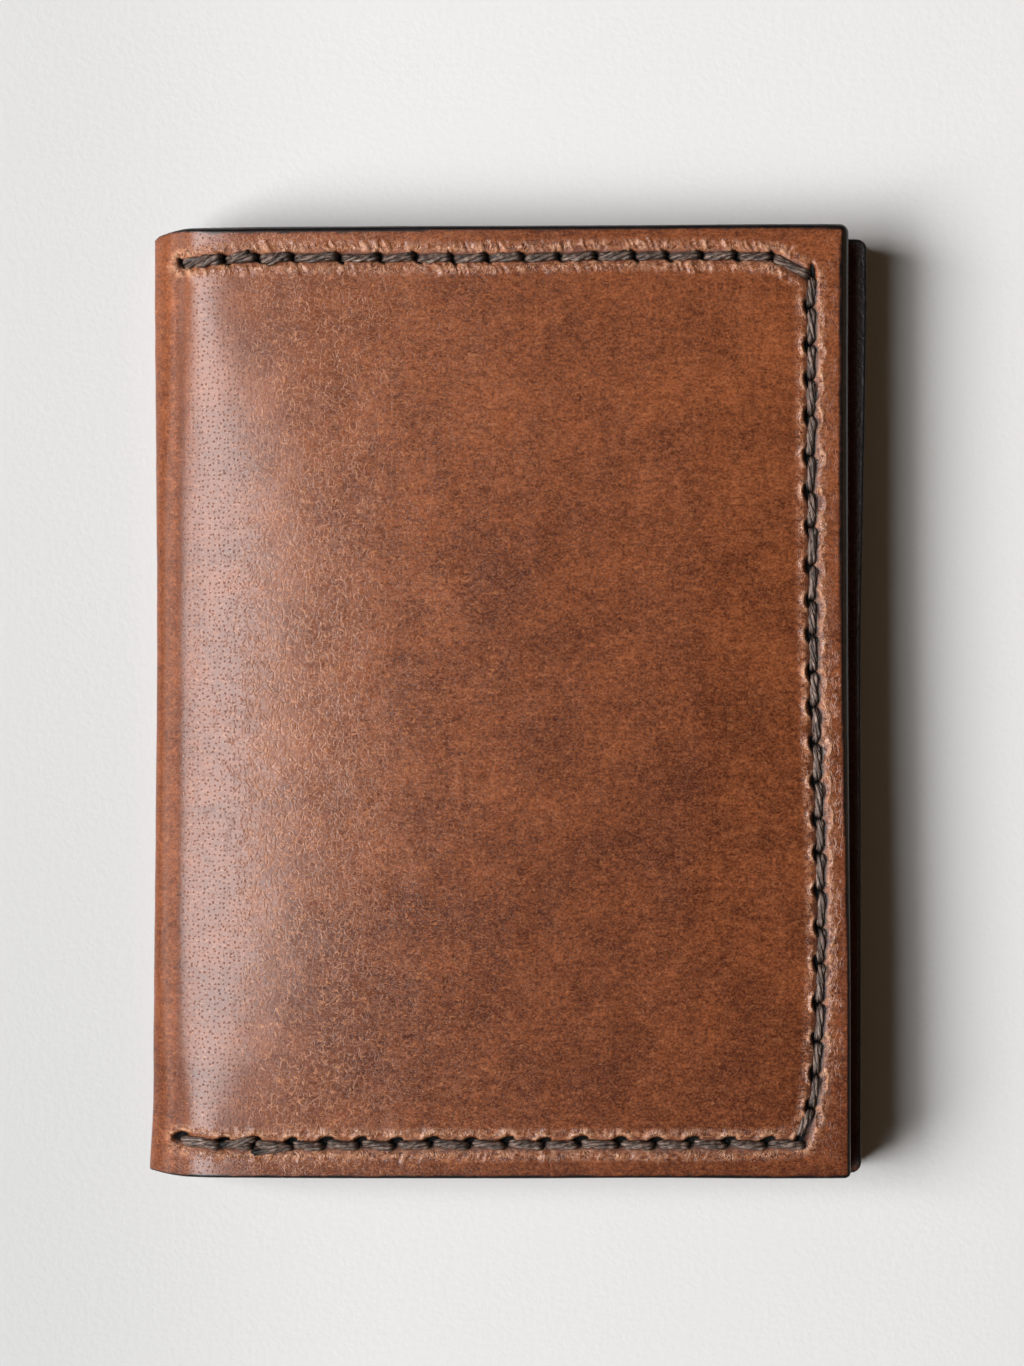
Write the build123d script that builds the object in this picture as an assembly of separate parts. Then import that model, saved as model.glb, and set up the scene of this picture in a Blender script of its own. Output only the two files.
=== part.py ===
from build123d import *
import math
import os

# ---------------------------------------------------------------------------
# Book-style leather card holder, closed and lying on its back leaf.
# Frame: X across the holder (spine at -X, opening side at +X), Y along its
# height, Z through its thickness.  Origin: bottom centre of the closed holder.
# All sizes in millimetres.
# ---------------------------------------------------------------------------

# --- driving dimensions ----------------------------------------------------
LEAF_H = 105.5          # height of both leaves, along Y
FRONT_W = 77.3          # spine to opening edge, front leaf
BACK_W = 79.5           # spine to opening edge, back leaf
COVER_T = 1.4           # outer cover leather
LINING_T = 0.6          # lining leather
POCKET_T = 0.7          # pocket leather
LEAF_GAP = 0.4          # air between the two leaves when closed
FOLD_R = 2.4            # outer radius of each of the two spine folds
TAPER = 1.5             # how far each leaf's outer face falls towards the spine
TAPER_STEPS = ((15.4, 0.0), (9.6, 0.35), (5.4, 0.85), (2.4, 1.5))  # (from spine, fall)
CORNER_R = 1.2          # plan radius of the outer corners

STITCH_PITCH = 4.0      # pricking pitch of the seam
THREAD_W = 0.95         # laid width of the waxed thread
THREAD_T = 0.50         # sunk height of a stitch on the outer face
THREAD_IN_T = 0.35      # sunk height of a stitch on the inner face
GROOVE_CLEAR = 0.05     # side clearance of a stitch in its groove
SLIT_L = 1.15           # length of an awl slit
SLIT_W = 0.62           # width of an awl slit
SLIT_CLEAR = 0.06       # clearance of the thread in its slit, all round
SLIT_ANGLE = 45.0       # slant of a slit to its row
STITCH_SLANT = 0.14     # sideways lean of a stitch at each of its ends

MOUTHS = (12.4, 19.9, 27.4)     # pocket mouths, measured from the spine face
BASES = (57.6, 65.0)            # base seams of the first and second pockets
CARD = (54.0, 85.6)             # standard card that the pockets are cut for

# --- derived ----------------------------------------------------------------
LEAF_T = COVER_T + LINING_T + 3 * POCKET_T
TOTAL_T = 2 * LEAF_T + LEAF_GAP
XS = -BACK_W / 2                # outer face of the spine
X_FRONT = XS + FRONT_W          # opening edge of the front leaf
X_BACK = XS + BACK_W            # opening edge of the back leaf
X_PANEL = XS + FOLD_R           # inner panels start where the fold ends
R_IN = FOLD_R - COVER_T
Y0 = LEAF_H / 2

# Depths below the outer face of a leaf: cover, lining, then three pockets.
D_COVER = (0.0, COVER_T)
D_LINING = (COVER_T, COVER_T + LINING_T)
D_POCKET = [
    (D_LINING[1] + i * POCKET_T, D_LINING[1] + (i + 1) * POCKET_T) for i in range(3)
]
X_MOUTH = [XS + m for m in MOUTHS]
X_BASE = [XS + b for b in BASES]

# --- stitch holes -----------------------------------------------------------
# Hand-pricked rows: top edge from the spine outwards, down the opening side,
# and back along the bottom edge to the spine.  Each entry is (x, y).
FRONT_TOP = [
    (-36.60, 48.95), (-32.05, 49.15), (-27.85, 49.25), (-23.65, 49.35),
    (-19.10, 49.30), (-14.65, 49.25), (-10.45, 49.30), (-6.35, 49.25),
    (-2.15, 49.25), (1.65, 49.30), (5.75, 49.40), (10.05, 49.50),
    (13.95, 49.50), (17.60, 49.50), (21.45, 49.50), (25.25, 49.45),
    (29.30, 49.30),
]
FRONT_SIDE = [
    (33.45, 47.60), (33.50, 43.75), (33.50, 39.60), (33.50, 35.70),
    (33.50, 31.70), (33.50, 27.25), (33.50, 23.25), (33.55, 19.40),
    (33.60, 15.10), (33.65, 11.20), (33.70, 7.40), (33.80, 3.30),
    (33.90, -0.55), (34.05, -4.65), (34.25, -8.85), (34.40, -12.95),
    (34.50, -16.75), (34.55, -20.95), (34.60, -25.05), (34.60, -29.00),
    (34.45, -33.45), (34.30, -37.65), (34.05, -41.35), (33.65, -45.10),
]
FRONT_BOTTOM = [
    (32.60, -48.70), (28.65, -49.10), (24.35, -49.10), (20.25, -49.10),
    (16.25, -49.15), (12.25, -49.10), (7.85, -49.10), (3.95, -49.15),
    (-0.25, -49.10), (-4.25, -49.10), (-8.55, -49.10), (-12.55, -49.15),
    (-16.55, -49.10), (-20.40, -49.15), (-24.20, -49.20), (-28.30, -49.15),
    (-31.85, -49.20), (-36.60, -48.80),
]
FRONT_HOLES = FRONT_TOP + FRONT_SIDE + FRONT_BOTTOM


def spaced(a, b, n):
    """n points from a to b, both ends included."""
    return [
        (a[0] + (b[0] - a[0]) * i / (n - 1), a[1] + (b[1] - a[1]) * i / (n - 1))
        for i in range(n)
    ]


X_SEAM_B = X_BACK - 3.45        # the back leaf's side row
Y_SEAM_B = 49.2
BACK_TOP = spaced((-36.60, Y_SEAM_B), (32.3, Y_SEAM_B), 18)
BACK_SIDE = spaced((X_SEAM_B, 47.6), (X_SEAM_B, -47.6), 25)
BACK_BOTTOM = spaced((32.3, -Y_SEAM_B), (-36.60, -Y_SEAM_B), 18)
BACK_HOLES = BACK_TOP + BACK_SIDE + BACK_BOTTOM


def base_holes(x):
    n = int(round(90.0 / STITCH_PITCH)) + 1
    return spaced((x, 45.0), (x, -45.0), n)


# --- helpers ----------------------------------------------------------------
def direction(a, b):
    length = math.hypot(b[0] - a[0], b[1] - a[1])
    return ((b[0] - a[0]) / length, (b[1] - a[1]) / length)


def slits(holes, grow=0.0, ids=None):
    """Slanted lozenge cuts, one at each hole (or at the holes in ids)."""
    shapes = []
    for i, p in enumerate(holes):
        if ids is not None and i not in ids:
            continue
        a = holes[max(i - 1, 0)]
        b = holes[min(i + 1, len(holes) - 1)]
        d = direction(a, b)
        ang = math.degrees(math.atan2(d[1], d[0])) + SLIT_ANGLE
        hl, hw = SLIT_L / 2 + grow, SLIT_W / 2 + grow
        lozenge = Polygon((-hl, 0), (0, -hw), (hl, 0), (0, hw), align=None)
        shapes.append(Pos(p[0], p[1]) * Rot(0, 0, ang) * lozenge)
    return Sketch() + shapes


def one_stitch(a, b, width, lean):
    """Plan outline of one stitch: a round-ended bar that leans a little."""
    d = direction(a, b)
    n = (-d[1], d[0])
    p = (a[0] + n[0] * lean, a[1] + n[1] * lean)
    q = (b[0] - n[0] * lean, b[1] - n[1] * lean)
    length = math.hypot(q[0] - p[0], q[1] - p[1])
    ang = math.degrees(math.atan2(q[1] - p[1], q[0] - p[0]))
    mid = ((p[0] + q[0]) / 2, (p[1] + q[1]) / 2)
    return Pos(mid[0], mid[1]) * Rot(0, 0, ang) * SlotCenterToCenter(length, width)


def run_of(holes, pairs, width, lean):
    """Plan outline of a run of stitches."""
    return Sketch() + [one_stitch(holes[i], holes[i + 1], width, lean) for i in pairs]


def level_of(x, reach):
    """How many pocket panels lie under the point x, up to reach panels."""
    return sum(1 for m in X_MOUTH[:reach] if x > m + 0.4)


def layer(up, d0, d1):
    """A layer between two depths below a leaf's outer face, which falls
    towards the spine in three flat steps of slope."""
    line = [(XS + d, fall) for d, fall in TAPER_STEPS]
    line = [(line[0][0] + 80.0, 0.0)] + line
    # beyond the first step the slope simply carries on
    (xa, fa), (xb, fb) = line[-2], line[-1]
    line.append((xb - 1.0, fb + (fb - fa) / (xa - xb)))
    pts = [(x, f + d0) for x, f in line] + [(x, f + d1) for x, f in reversed(line)]
    if up:
        pts = [(x, TOTAL_T - z) for x, z in pts]
    v = [Vector(x, -Y0 - 1, z) for x, z in pts]
    edges = [Line(v[i], v[(i + 1) % len(v)]).edge() for i in range(len(v))]
    return Solid.extrude(Face(Wire(edges)), Vector(0, LEAF_H + 2, 0))


class Leaf:
    """One leaf.  Depth 0 is its outer face; 'up' leaves face +Z."""

    def __init__(self, up):
        self.up = up
        self.layers = {}

    def slab(self, sketch, d0, d1):
        key = (round(d0, 4), round(d1, 4))
        if key not in self.layers:
            self.layers[key] = layer(self.up, d0, d1)
        prism = Pos(0, 0, -3) * extrude(sketch, amount=TOTAL_T + 6)
        return prism & self.layers[key]


def plan(x0, x1):
    """Plan outline of a panel, rounded at its two opening-side corners."""
    outline = Polygon((x0, -Y0), (x1, -Y0), (x1, Y0), (x0, Y0), align=None)
    right = [v for v in outline.vertices() if v.X > x1 - 0.01]
    return fillet(right, CORNER_R)


def half_fold(up):
    """The leaf's half of a spine fold: 45 degrees of bent leather."""
    cx, cz = XS + FOLD_R, TAPER + FOLD_R
    c = math.cos(math.radians(45))
    out_a, out_m, out_b = (
        (cx, cz - FOLD_R),
        (cx - FOLD_R * math.sin(math.radians(22.5)), cz - FOLD_R * math.cos(math.radians(22.5))),
        (cx - FOLD_R * c, cz - FOLD_R * c),
    )
    in_a, in_m, in_b = (
        (cx, cz - R_IN),
        (cx - R_IN * math.sin(math.radians(22.5)), cz - R_IN * math.cos(math.radians(22.5))),
        (cx - R_IN * c, cz - R_IN * c),
    )
    pts = [out_a, out_m, out_b, in_a, in_m, in_b]
    if up:
        pts = [(x, TOTAL_T - z) for x, z in pts]
    v = [Vector(x, -Y0, z) for x, z in pts]
    wire = Wire([
        ThreePointArc(v[0], v[1], v[2]).edge(),
        Line(v[2], v[5]).edge(),
        ThreePointArc(v[5], v[4], v[3]).edge(),
        Line(v[3], v[0]).edge(),
    ])
    return Solid.extrude(Face(wire), Vector(0, LEAF_H, 0))


def spine_solid():
    """The spine strip with its half of each fold."""
    c = math.cos(math.radians(45))
    s22, c22 = math.sin(math.radians(22.5)), math.cos(math.radians(22.5))
    cx = XS + FOLD_R
    lo, hi = TAPER + FOLD_R, TOTAL_T - TAPER - FOLD_R

    def at(r, sx, sz, cz):
        return Vector(cx - r * sx, -Y0, cz + r * sz)

    o = [
        at(FOLD_R, c, -c, lo), at(FOLD_R, c22, -s22, lo), at(FOLD_R, 1, 0, lo),
        at(FOLD_R, 1, 0, hi), at(FOLD_R, c22, s22, hi), at(FOLD_R, c, c, hi),
    ]
    i = [
        at(R_IN, c, -c, lo), at(R_IN, c22, -s22, lo), at(R_IN, 1, 0, lo),
        at(R_IN, 1, 0, hi), at(R_IN, c22, s22, hi), at(R_IN, c, c, hi),
    ]
    wire = Wire([
        ThreePointArc(o[0], o[1], o[2]).edge(),
        Line(o[2], o[3]).edge(),
        ThreePointArc(o[3], o[4], o[5]).edge(),
        Line(o[5], i[5]).edge(),
        ThreePointArc(i[5], i[4], i[3]).edge(),
        Line(i[3], i[2]).edge(),
        ThreePointArc(i[2], i[1], i[0]).edge(),
        Line(i[0], o[0]).edge(),
    ])
    return Solid.extrude(Face(wire), Vector(0, LEAF_H, 0))


# --- one leaf ---------------------------------------------------------------
def build_leaf(name, up, x_right, holes):
    leaf = Leaf(up)
    pieces = {}
    n = len(holes)
    every = range(n - 1)
    cut_slits = slits(holes)

    outer_run = run_of(holes, every, THREAD_W, STITCH_SLANT)
    outer_groove = run_of(holes, every, THREAD_W + 2 * GROOVE_CLEAR, STITCH_SLANT)

    # Cover: plate, its half of the fold, slits, and the sunk stitching line.
    plate = leaf.slab(plan(X_PANEL, x_right), *D_COVER)
    cover = plate + half_fold(up)
    cover = cover - leaf.slab(outer_groove, -1.0, THREAD_T)
    cover = cover - leaf.slab(cut_slits, -1.0, COVER_T + 1.0)
    pieces[name + "_cover"] = cover

    # Inner stitches lie on whichever panel is innermost there.
    levels = [level_of(p[0], 3) for p in holes]
    bar_level = [max(levels[i], levels[i + 1]) for i in every]
    tops = [D_LINING[1]] + [d[1] for d in D_POCKET]

    def groove_at(level):
        pairs = [i for i in every if bar_level[i] == level]
        if not pairs:
            return None
        return run_of(holes, pairs, THREAD_W + 2 * GROOVE_CLEAR, -STITCH_SLANT)

    # Base seams hold the first two pockets short, so that each card stands
    # proud of its own mouth.
    bases = [base_holes(x) for x in X_BASE]
    base_slits = [slits(b) for b in bases]
    base_all = [range(len(b) - 1) for b in bases]
    base_w = 0.70
    base_t = 0.25
    base_run = [run_of(b, r, base_w, 0.08) for b, r in zip(bases, base_all)]
    base_groove = [
        run_of(b, r, base_w + 2 * GROOVE_CLEAR, 0.08) for b, r in zip(bases, base_all)
    ]

    # Lining.
    lining = leaf.slab(plan(X_PANEL, x_right), *D_LINING)
    lining = lining - leaf.slab(cut_slits, D_LINING[0] - 1, D_LINING[1] + 1)
    g = groove_at(0)
    if g is not None:
        lining = lining - leaf.slab(g, D_LINING[1] - THREAD_IN_T, D_LINING[1] + 1)
    for k in (0, 1):
        lining = lining - leaf.slab(base_slits[k], D_LINING[0] - 1, D_LINING[1] + 1)
        lining = lining - leaf.slab(base_groove[k], D_LINING[0] - 1, D_LINING[0] + base_t)
    pieces[name + "_lining"] = lining

    # Pockets.
    words = ("first", "second", "third")
    for k in range(3):
        d0, d1 = D_POCKET[k]
        panel = leaf.slab(plan(X_MOUTH[k], x_right), d0, d1)
        panel = panel - leaf.slab(cut_slits, d0 - 1, d1 + 1)
        g = groove_at(k + 1)
        if g is not None:
            panel = panel - leaf.slab(g, d1 - THREAD_IN_T, d1 + 1)
        for b in (0, 1):
            if b >= k:
                panel = panel - leaf.slab(base_slits[b], d0 - 1, d1 + 1)
            if b == k:
                panel = panel - leaf.slab(base_groove[b], d1 - base_t, d1 + 1)
        pieces["%s_%s_pocket" % (name, words[k])] = panel

    # Seam thread: outer stitches, inner stitches at their levels, and legs.
    thread = leaf.slab(outer_run, 0.05, THREAD_T)
    leg_top = [max([bar_level[j] for j in (i - 1, i) if 0 <= j < n - 1]) for i in range(n)]
    for level in range(4):
        pairs = [i for i in every if bar_level[i] == level]
        if not pairs:
            continue
        bars = run_of(holes, pairs, THREAD_W, -STITCH_SLANT)
        thread = thread + leaf.slab(bars, tops[level] - THREAD_IN_T, tops[level] - 0.02)
    for level in range(4):
        ids = [i for i in range(n) if leg_top[i] == level]
        if not ids:
            continue
        legs = slits(holes, -SLIT_CLEAR, ids)
        thread = thread + leaf.slab(legs, THREAD_T - 0.2, tops[level] - 0.1)
    pieces[name + "_seam_thread"] = thread

    # Base threads.
    for k in (0, 1):
        d_out, d_in = D_LINING[0], D_POCKET[k][1]
        legs = slits(bases[k], -SLIT_CLEAR)
        t = leaf.slab(base_run[k], d_out + 0.02, d_out + base_t)
        t = t + leaf.slab(base_run[k], d_in - base_t, d_in - 0.02)
        t = t + leaf.slab(legs, d_out + 0.1, d_in - 0.1)
        pieces["%s_%s_base_thread" % (name, words[k])] = t
    return pieces


nodes = {"spine_cover": spine_solid()}
nodes.update(build_leaf("back", False, X_BACK, BACK_HOLES))
nodes.update(build_leaf("front", True, X_FRONT, FRONT_HOLES))

os.makedirs("parts", exist_ok=True)
for node_name, shape in nodes.items():
    solids = list(shape.solids())
    body = solids[0] if len(solids) == 1 else Compound(solids)
    export_step(body, "parts/%s.step" % node_name)
    box = body.bounding_box()
    print("%-28s solids %d  volume %9.2f  size %.2f %.2f %.2f" % (
        node_name, len(solids), body.volume, box.size.X, box.size.Y, box.size.Z))
print("closed size: %.2f x %.2f x %.2f" % (BACK_W, LEAF_H, TOTAL_T))
print("fold axes: x %.4f, z %.4f and %.4f" % (
    XS + 0.2146 * FOLD_R, TAPER + 0.2146 * FOLD_R, TOTAL_T - TAPER - 0.2146 * FOLD_R))
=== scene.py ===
import math

import bmesh
import bpy
import numpy as np
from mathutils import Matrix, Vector


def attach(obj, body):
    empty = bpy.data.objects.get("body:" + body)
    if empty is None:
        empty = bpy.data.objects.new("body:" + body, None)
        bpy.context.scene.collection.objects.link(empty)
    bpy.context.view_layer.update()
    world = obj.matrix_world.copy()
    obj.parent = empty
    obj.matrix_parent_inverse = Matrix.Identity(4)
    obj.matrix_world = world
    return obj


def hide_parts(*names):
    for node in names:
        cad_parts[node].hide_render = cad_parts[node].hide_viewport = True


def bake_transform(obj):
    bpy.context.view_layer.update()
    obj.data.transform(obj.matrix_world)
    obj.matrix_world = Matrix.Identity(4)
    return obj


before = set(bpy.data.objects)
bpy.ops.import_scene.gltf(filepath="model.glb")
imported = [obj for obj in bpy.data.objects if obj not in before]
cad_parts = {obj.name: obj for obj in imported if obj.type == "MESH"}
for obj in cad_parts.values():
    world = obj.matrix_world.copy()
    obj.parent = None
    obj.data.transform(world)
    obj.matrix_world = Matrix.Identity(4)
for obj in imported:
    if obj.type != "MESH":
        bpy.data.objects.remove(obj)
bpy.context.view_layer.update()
MM = 0.001
scene = bpy.context.scene

# ---------------------------------------------------------------------------
# Sizes, in millimetres, as in the CAD
# ---------------------------------------------------------------------------
XS = -39.75                 # outer face of the spine
TOTAL = 8.6
MID = TOTAL / 2
LEAF_T = 4.1
COVER_T = 1.4
X_CREASE = -36.7            # where the leaf ends and the fold starts
X_FRONT = 37.72
X_BACK = 39.62
Y0 = 52.75
MOUTHS = (-27.35, -19.85, -12.35)
LINING = (1.4, 2.0)
POCKETS = ((2.0, 2.7), (2.7, 3.4), (3.4, 4.1))

FRONT_TOP = [
    (-36.40, 48.80), (-31.70, 49.10), (-27.80, 49.20), (-24.00, 49.30),
    (-18.75, 49.30), (-14.25, 49.25), (-10.25, 49.30), (-6.25, 49.25),
    (-2.35, 49.25), (1.60, 49.30), (5.65, 49.40), (9.75, 49.50),
    (13.95, 49.50), (17.60, 49.50), (21.45, 49.50), (25.25, 49.45),
    (29.30, 49.30),
]
FRONT_SIDE = [
    (33.45, 47.10), (33.50, 43.70), (33.50, 39.60), (33.50, 35.70),
    (33.50, 31.70), (33.50, 27.25), (33.50, 23.25), (33.55, 19.40),
    (33.60, 15.10), (33.65, 11.20), (33.70, 7.40), (33.80, 3.30),
    (33.90, -0.55), (34.05, -4.65), (34.25, -8.85), (34.40, -12.95),
    (34.50, -16.75), (34.55, -20.95), (34.60, -25.05), (34.60, -29.00),
    (34.45, -33.45), (34.30, -37.65), (34.05, -41.35), (33.65, -45.10),
]
FRONT_BOTTOM = [
    (32.60, -48.70), (28.65, -49.10), (24.35, -49.10), (20.25, -49.10),
    (16.25, -49.15), (12.25, -49.10), (7.85, -49.10), (3.95, -49.15),
    (-0.25, -49.10), (-4.25, -49.10), (-8.55, -49.10), (-12.55, -49.15),
    (-16.55, -49.10), (-20.40, -49.15), (-24.20, -49.20), (-28.30, -49.15),
    (-31.85, -49.20), (-36.60, -48.80),
]


def spaced(a, b, n):
    return [
        (a[0] + (b[0] - a[0]) * i / (n - 1), a[1] + (b[1] - a[1]) * i / (n - 1))
        for i in range(n)
    ]


BACK_TOP = spaced((-36.60, 49.2), (32.3, 49.2), 18)
BACK_SIDE = spaced((36.3, 47.6), (36.3, -47.6), 25)
BACK_BOTTOM = spaced((32.3, -49.2), (-36.60, -49.2), 18)


def ss(t):
    t = np.clip(t, 0.0, 1.0)
    return t * t * (3 - 2 * t)


def vnoise(x, y, pitch, seed):
    """Smooth seeded noise between -1 and 1."""
    r = np.random.default_rng(seed).random((128, 128)) * 2 - 1
    gx, gy = np.asarray(x, float) / pitch + 500, np.asarray(y, float) / pitch + 500
    ix, iy = np.floor(gx).astype(int), np.floor(gy).astype(int)
    fx, fy = gx - ix, gy - iy
    fx, fy = fx * fx * (3 - 2 * fx), fy * fy * (3 - 2 * fy)
    a, b = r[ix % 128, iy % 128], r[(ix + 1) % 128, iy % 128]
    c, d = r[ix % 128, (iy + 1) % 128], r[(ix + 1) % 128, (iy + 1) % 128]
    return (a * (1 - fx) + b * fx) * (1 - fy) + (c * (1 - fx) + d * fx) * fy


# ---------------------------------------------------------------------------
# The shape of a leaf: a cross-section that runs from the middle of the spine,
# round the fold and out along the leaf, and what varies along its height
# ---------------------------------------------------------------------------
class Leaf:
    """Sheet coordinates: s along the cross-section from mid-spine, y along
    the height, w above the outer face (negative is towards the inside)."""

    def __init__(self, up):
        self.up = up
        fall, reach = (2.0, 8.0) if up else (1.9, 6.5)
        z0 = TOTAL - fall
        lean = math.tan(math.radians(22 if up else 24))
        p0, p3 = np.array([X_CREASE, z0]), np.array([XS, MID])
        q = np.array([XS, z0 - lean * (X_CREASE - XS)])
        p1, p2 = p0 + 0.62 * (q - p0), p3 + 0.62 * (q - p3)
        t = np.linspace(1, 0, 400)[:, None]
        arc = ((1 - t) ** 3 * p0 + 3 * (1 - t) ** 2 * t * p1
               + 3 * (1 - t) * t * t * p2 + t ** 3 * p3)
        x = np.arange(X_CREASE + 0.02, 46, 0.02)
        flat = np.stack([x, TOTAL - fall * np.exp(-(x - X_CREASE) / reach)], 1)
        pts = np.concatenate([arc, flat])
        s = np.concatenate([[0], np.cumsum(np.linalg.norm(np.diff(pts, axis=0), axis=1))])
        step = 0.02
        su = np.arange(0, s[-1], step)
        xu, zu = np.interp(su, s, pts[:, 0]), np.interp(su, s, pts[:, 1])
        # soften the crease; the curve goes on, mirrored, past mid-spine
        k = np.arange(-60, 61)
        g = np.exp(-((k * step / 0.38) ** 2))
        g /= g.sum()
        xe = np.concatenate([xu[1:61][::-1], xu, np.linspace(xu[-1] + step, xu[-1] + 60 * step, 60)])
        ze = np.concatenate([2 * MID - zu[1:61][::-1], zu, np.full(60, zu[-1])])
        self.s = su
        self.x = np.convolve(xe, g, "valid")
        self.z = np.convolve(ze, g, "valid")
        tx, tz = np.gradient(self.x, step), np.gradient(self.z, step)
        tx[0], tz[0] = 0.0, 1.0
        ln = np.hypot(tx, tz)
        self.nx, self.nz = -tz / ln, tx / ln
        self.s_max = self.s_at(X_FRONT if up else X_BACK)
        if up:
            self.holes = FRONT_TOP + FRONT_SIDE + FRONT_BOTTOM
            self.rows = [len(FRONT_TOP), len(FRONT_SIDE), len(FRONT_BOTTOM)]
        else:
            self.holes = BACK_TOP + BACK_SIDE + BACK_BOTTOM
            self.rows = [18, 25, 18]
        self.hole_sy = np.array([(self.s_at(hx), hy) for hx, hy in self.holes])

    def s_at(self, x):
        i = np.searchsorted(self.x, XS + 0.3)
        return float(np.interp(x, self.x[i:], self.s[i:]))

    def xz(self, s):
        return (np.interp(s, self.s, self.x), np.interp(s, self.s, self.z),
                np.interp(s, self.s, self.nx), np.interp(s, self.s, self.nz))

    # outline, in sheet coordinates
    def right(self, y):
        """How far the opening edge moves out from its nominal place."""
        wob = 0.05 * vnoise(y, y * 0, 17.0, 3 if self.up else 4)
        if self.up:
            return 0.14 * ss((10 - y) / 40) + wob
        return 0.60 * ss((y - 5) / 42) + wob

    def top(self, x):
        wob = 0.04 * vnoise(x, x * 0, 13.0, 5 if self.up else 6)
        y = Y0 + 0.16 + 0.0045 * x if self.up else Y0 - 0.66 * ss((x + 37) / 60) + 0 * x
        return y + wob - 0.55 * ss((-35.6 - x) / 4.3) - 0.30 * ss((-38.9 - x) / 0.85)

    def bottom(self, x):
        wob = 0.04 * vnoise(x, x * 0, 15.0, 7 if self.up else 8)
        y = -Y0 - 0.10 + 0 * x if self.up else -Y0 - 0.30 * ss((x + 37) / 60)
        return y + wob + 0.34 * ss((-36.0 - x) / 3.9)

    def skew(self, x):
        return 0 * x if self.up else -0.42 * ss((x + 37) / 60)

    def dome(self, x, y):
        """The card room swells the front leaf between its seams."""
        if not self.up:
            return 0 * x
        a = ss((33.8 - x) / 15) * ss((49.3 - np.abs(y)) / 26) * ss((x + 39) / 16.5)
        w = 0.022 * vnoise(x, y, 11.0, 21) + 0.05 * vnoise(x, y, 24.0, 22)
        # the end rows of stitching hold the leather up to nearer the fold
        u = np.maximum(x - X_CREASE, 0)
        held = 2.0 * np.exp(-u / 8.0) - 1.40 * np.exp(-u / 3.1)
        held = held * ss((x - XS) / (X_CREASE - XS)) * ss((np.abs(y + 4) - 19) / 29)
        held = held + 0.75 * (np.exp(-u / 3.1) - np.exp(-u / 1.3)) * ss((np.abs(y + 2) - 36) / 11)
        return 0.41 * a + held + w * ss((51.5 - np.abs(y)) / 6) * ss((x + 38) / 6)

    def spine_shift(self, x, y):
        """The spine isn't quite straight: it bows in a little and flares at
        its lower end."""
        d = (-0.15 * ss((y - 20) / 32) + 0.11 * np.exp(-((y - 8) / 13) ** 2)
             - 0.30 * ss((-y) / 45) - 0.40 * ss((-y - 44) / 9))
        return d * (1 - ss((x - XS) / 5.0))

    def place(self, s, y, w):
        """Points in millimetres in the row frame."""
        s, y, w = np.broadcast_arrays(np.asarray(s, float), np.asarray(y, float), np.asarray(w, float))
        x, z, nx, nz = self.xz(s)
        lift = self.dome(x, y) * np.clip(1 + w / LEAF_T, 0, 1.2)
        px = x + nx * w + self.spine_shift(x, y)
        pz = z + nz * w + lift
        if not self.up:
            pz = TOTAL - pz
        return np.stack([px, y, pz], -1)

    def out(self, s):
        """Outward direction of the outer face."""
        x, z, nx, nz = self.xz(s)
        if not self.up:
            nz = -nz
        return np.stack([nx, 0 * nx, nz], -1)


FRONT, BACK = Leaf(True), Leaf(False)


# ---------------------------------------------------------------------------
# Mesh making
# ---------------------------------------------------------------------------
def new_object(name, verts, faces, smooth=True):
    me = bpy.data.meshes.new(name)
    me.from_pydata((np.asarray(verts) * MM).tolist(), [], faces)
    me.validate()
    if smooth:
        me.polygons.foreach_set("use_smooth", [True] * len(me.polygons))
    ob = bpy.data.objects.new(name, me)
    scene.collection.objects.link(ob)
    return ob


def put(me, name, values, kind="FLOAT"):
    a = me.attributes.new(name, kind, "POINT")
    if kind == "FLOAT":
        a.data.foreach_set("value", np.asarray(values, np.float32))
    else:
        a.data.foreach_set("vector", np.asarray(values, np.float32).ravel())


E_COVER = np.array([0, .05, .13, .23, .35, .49, .65, .83, 1.03, 1.27, 1.56, 1.9, 2.3, 2.75])
E_PANEL = np.array([0, .04, .10, .18, .30, .50, .80, 1.3, 1.9])


def lines(a, b, pitch, ea=None, eb=None, fine_a=None):
    """Grid lines from a to b with the extra ones that an edge needs."""
    lo, hi = a, b
    parts = []
    if ea is not None:
        parts.append(a + ea)
        lo = a + ea[-1]
    if fine_a is not None:
        n = int(round(fine_a[0] / fine_a[1]))
        f = a + np.arange(n + 1) * fine_a[1]
        parts.append(f)
        lo = f[-1]
    if eb is not None:
        hi = b - eb[-1]
    n = max(1, int(math.ceil((hi - lo) / pitch)))
    parts.append(np.linspace(lo, hi, n + 1))
    if eb is not None:
        parts.append((b - eb)[::-1])
    v = np.concatenate(parts)
    v = np.sort(v)
    return v[np.concatenate([[True], np.diff(v) > 1e-6])]


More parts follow.
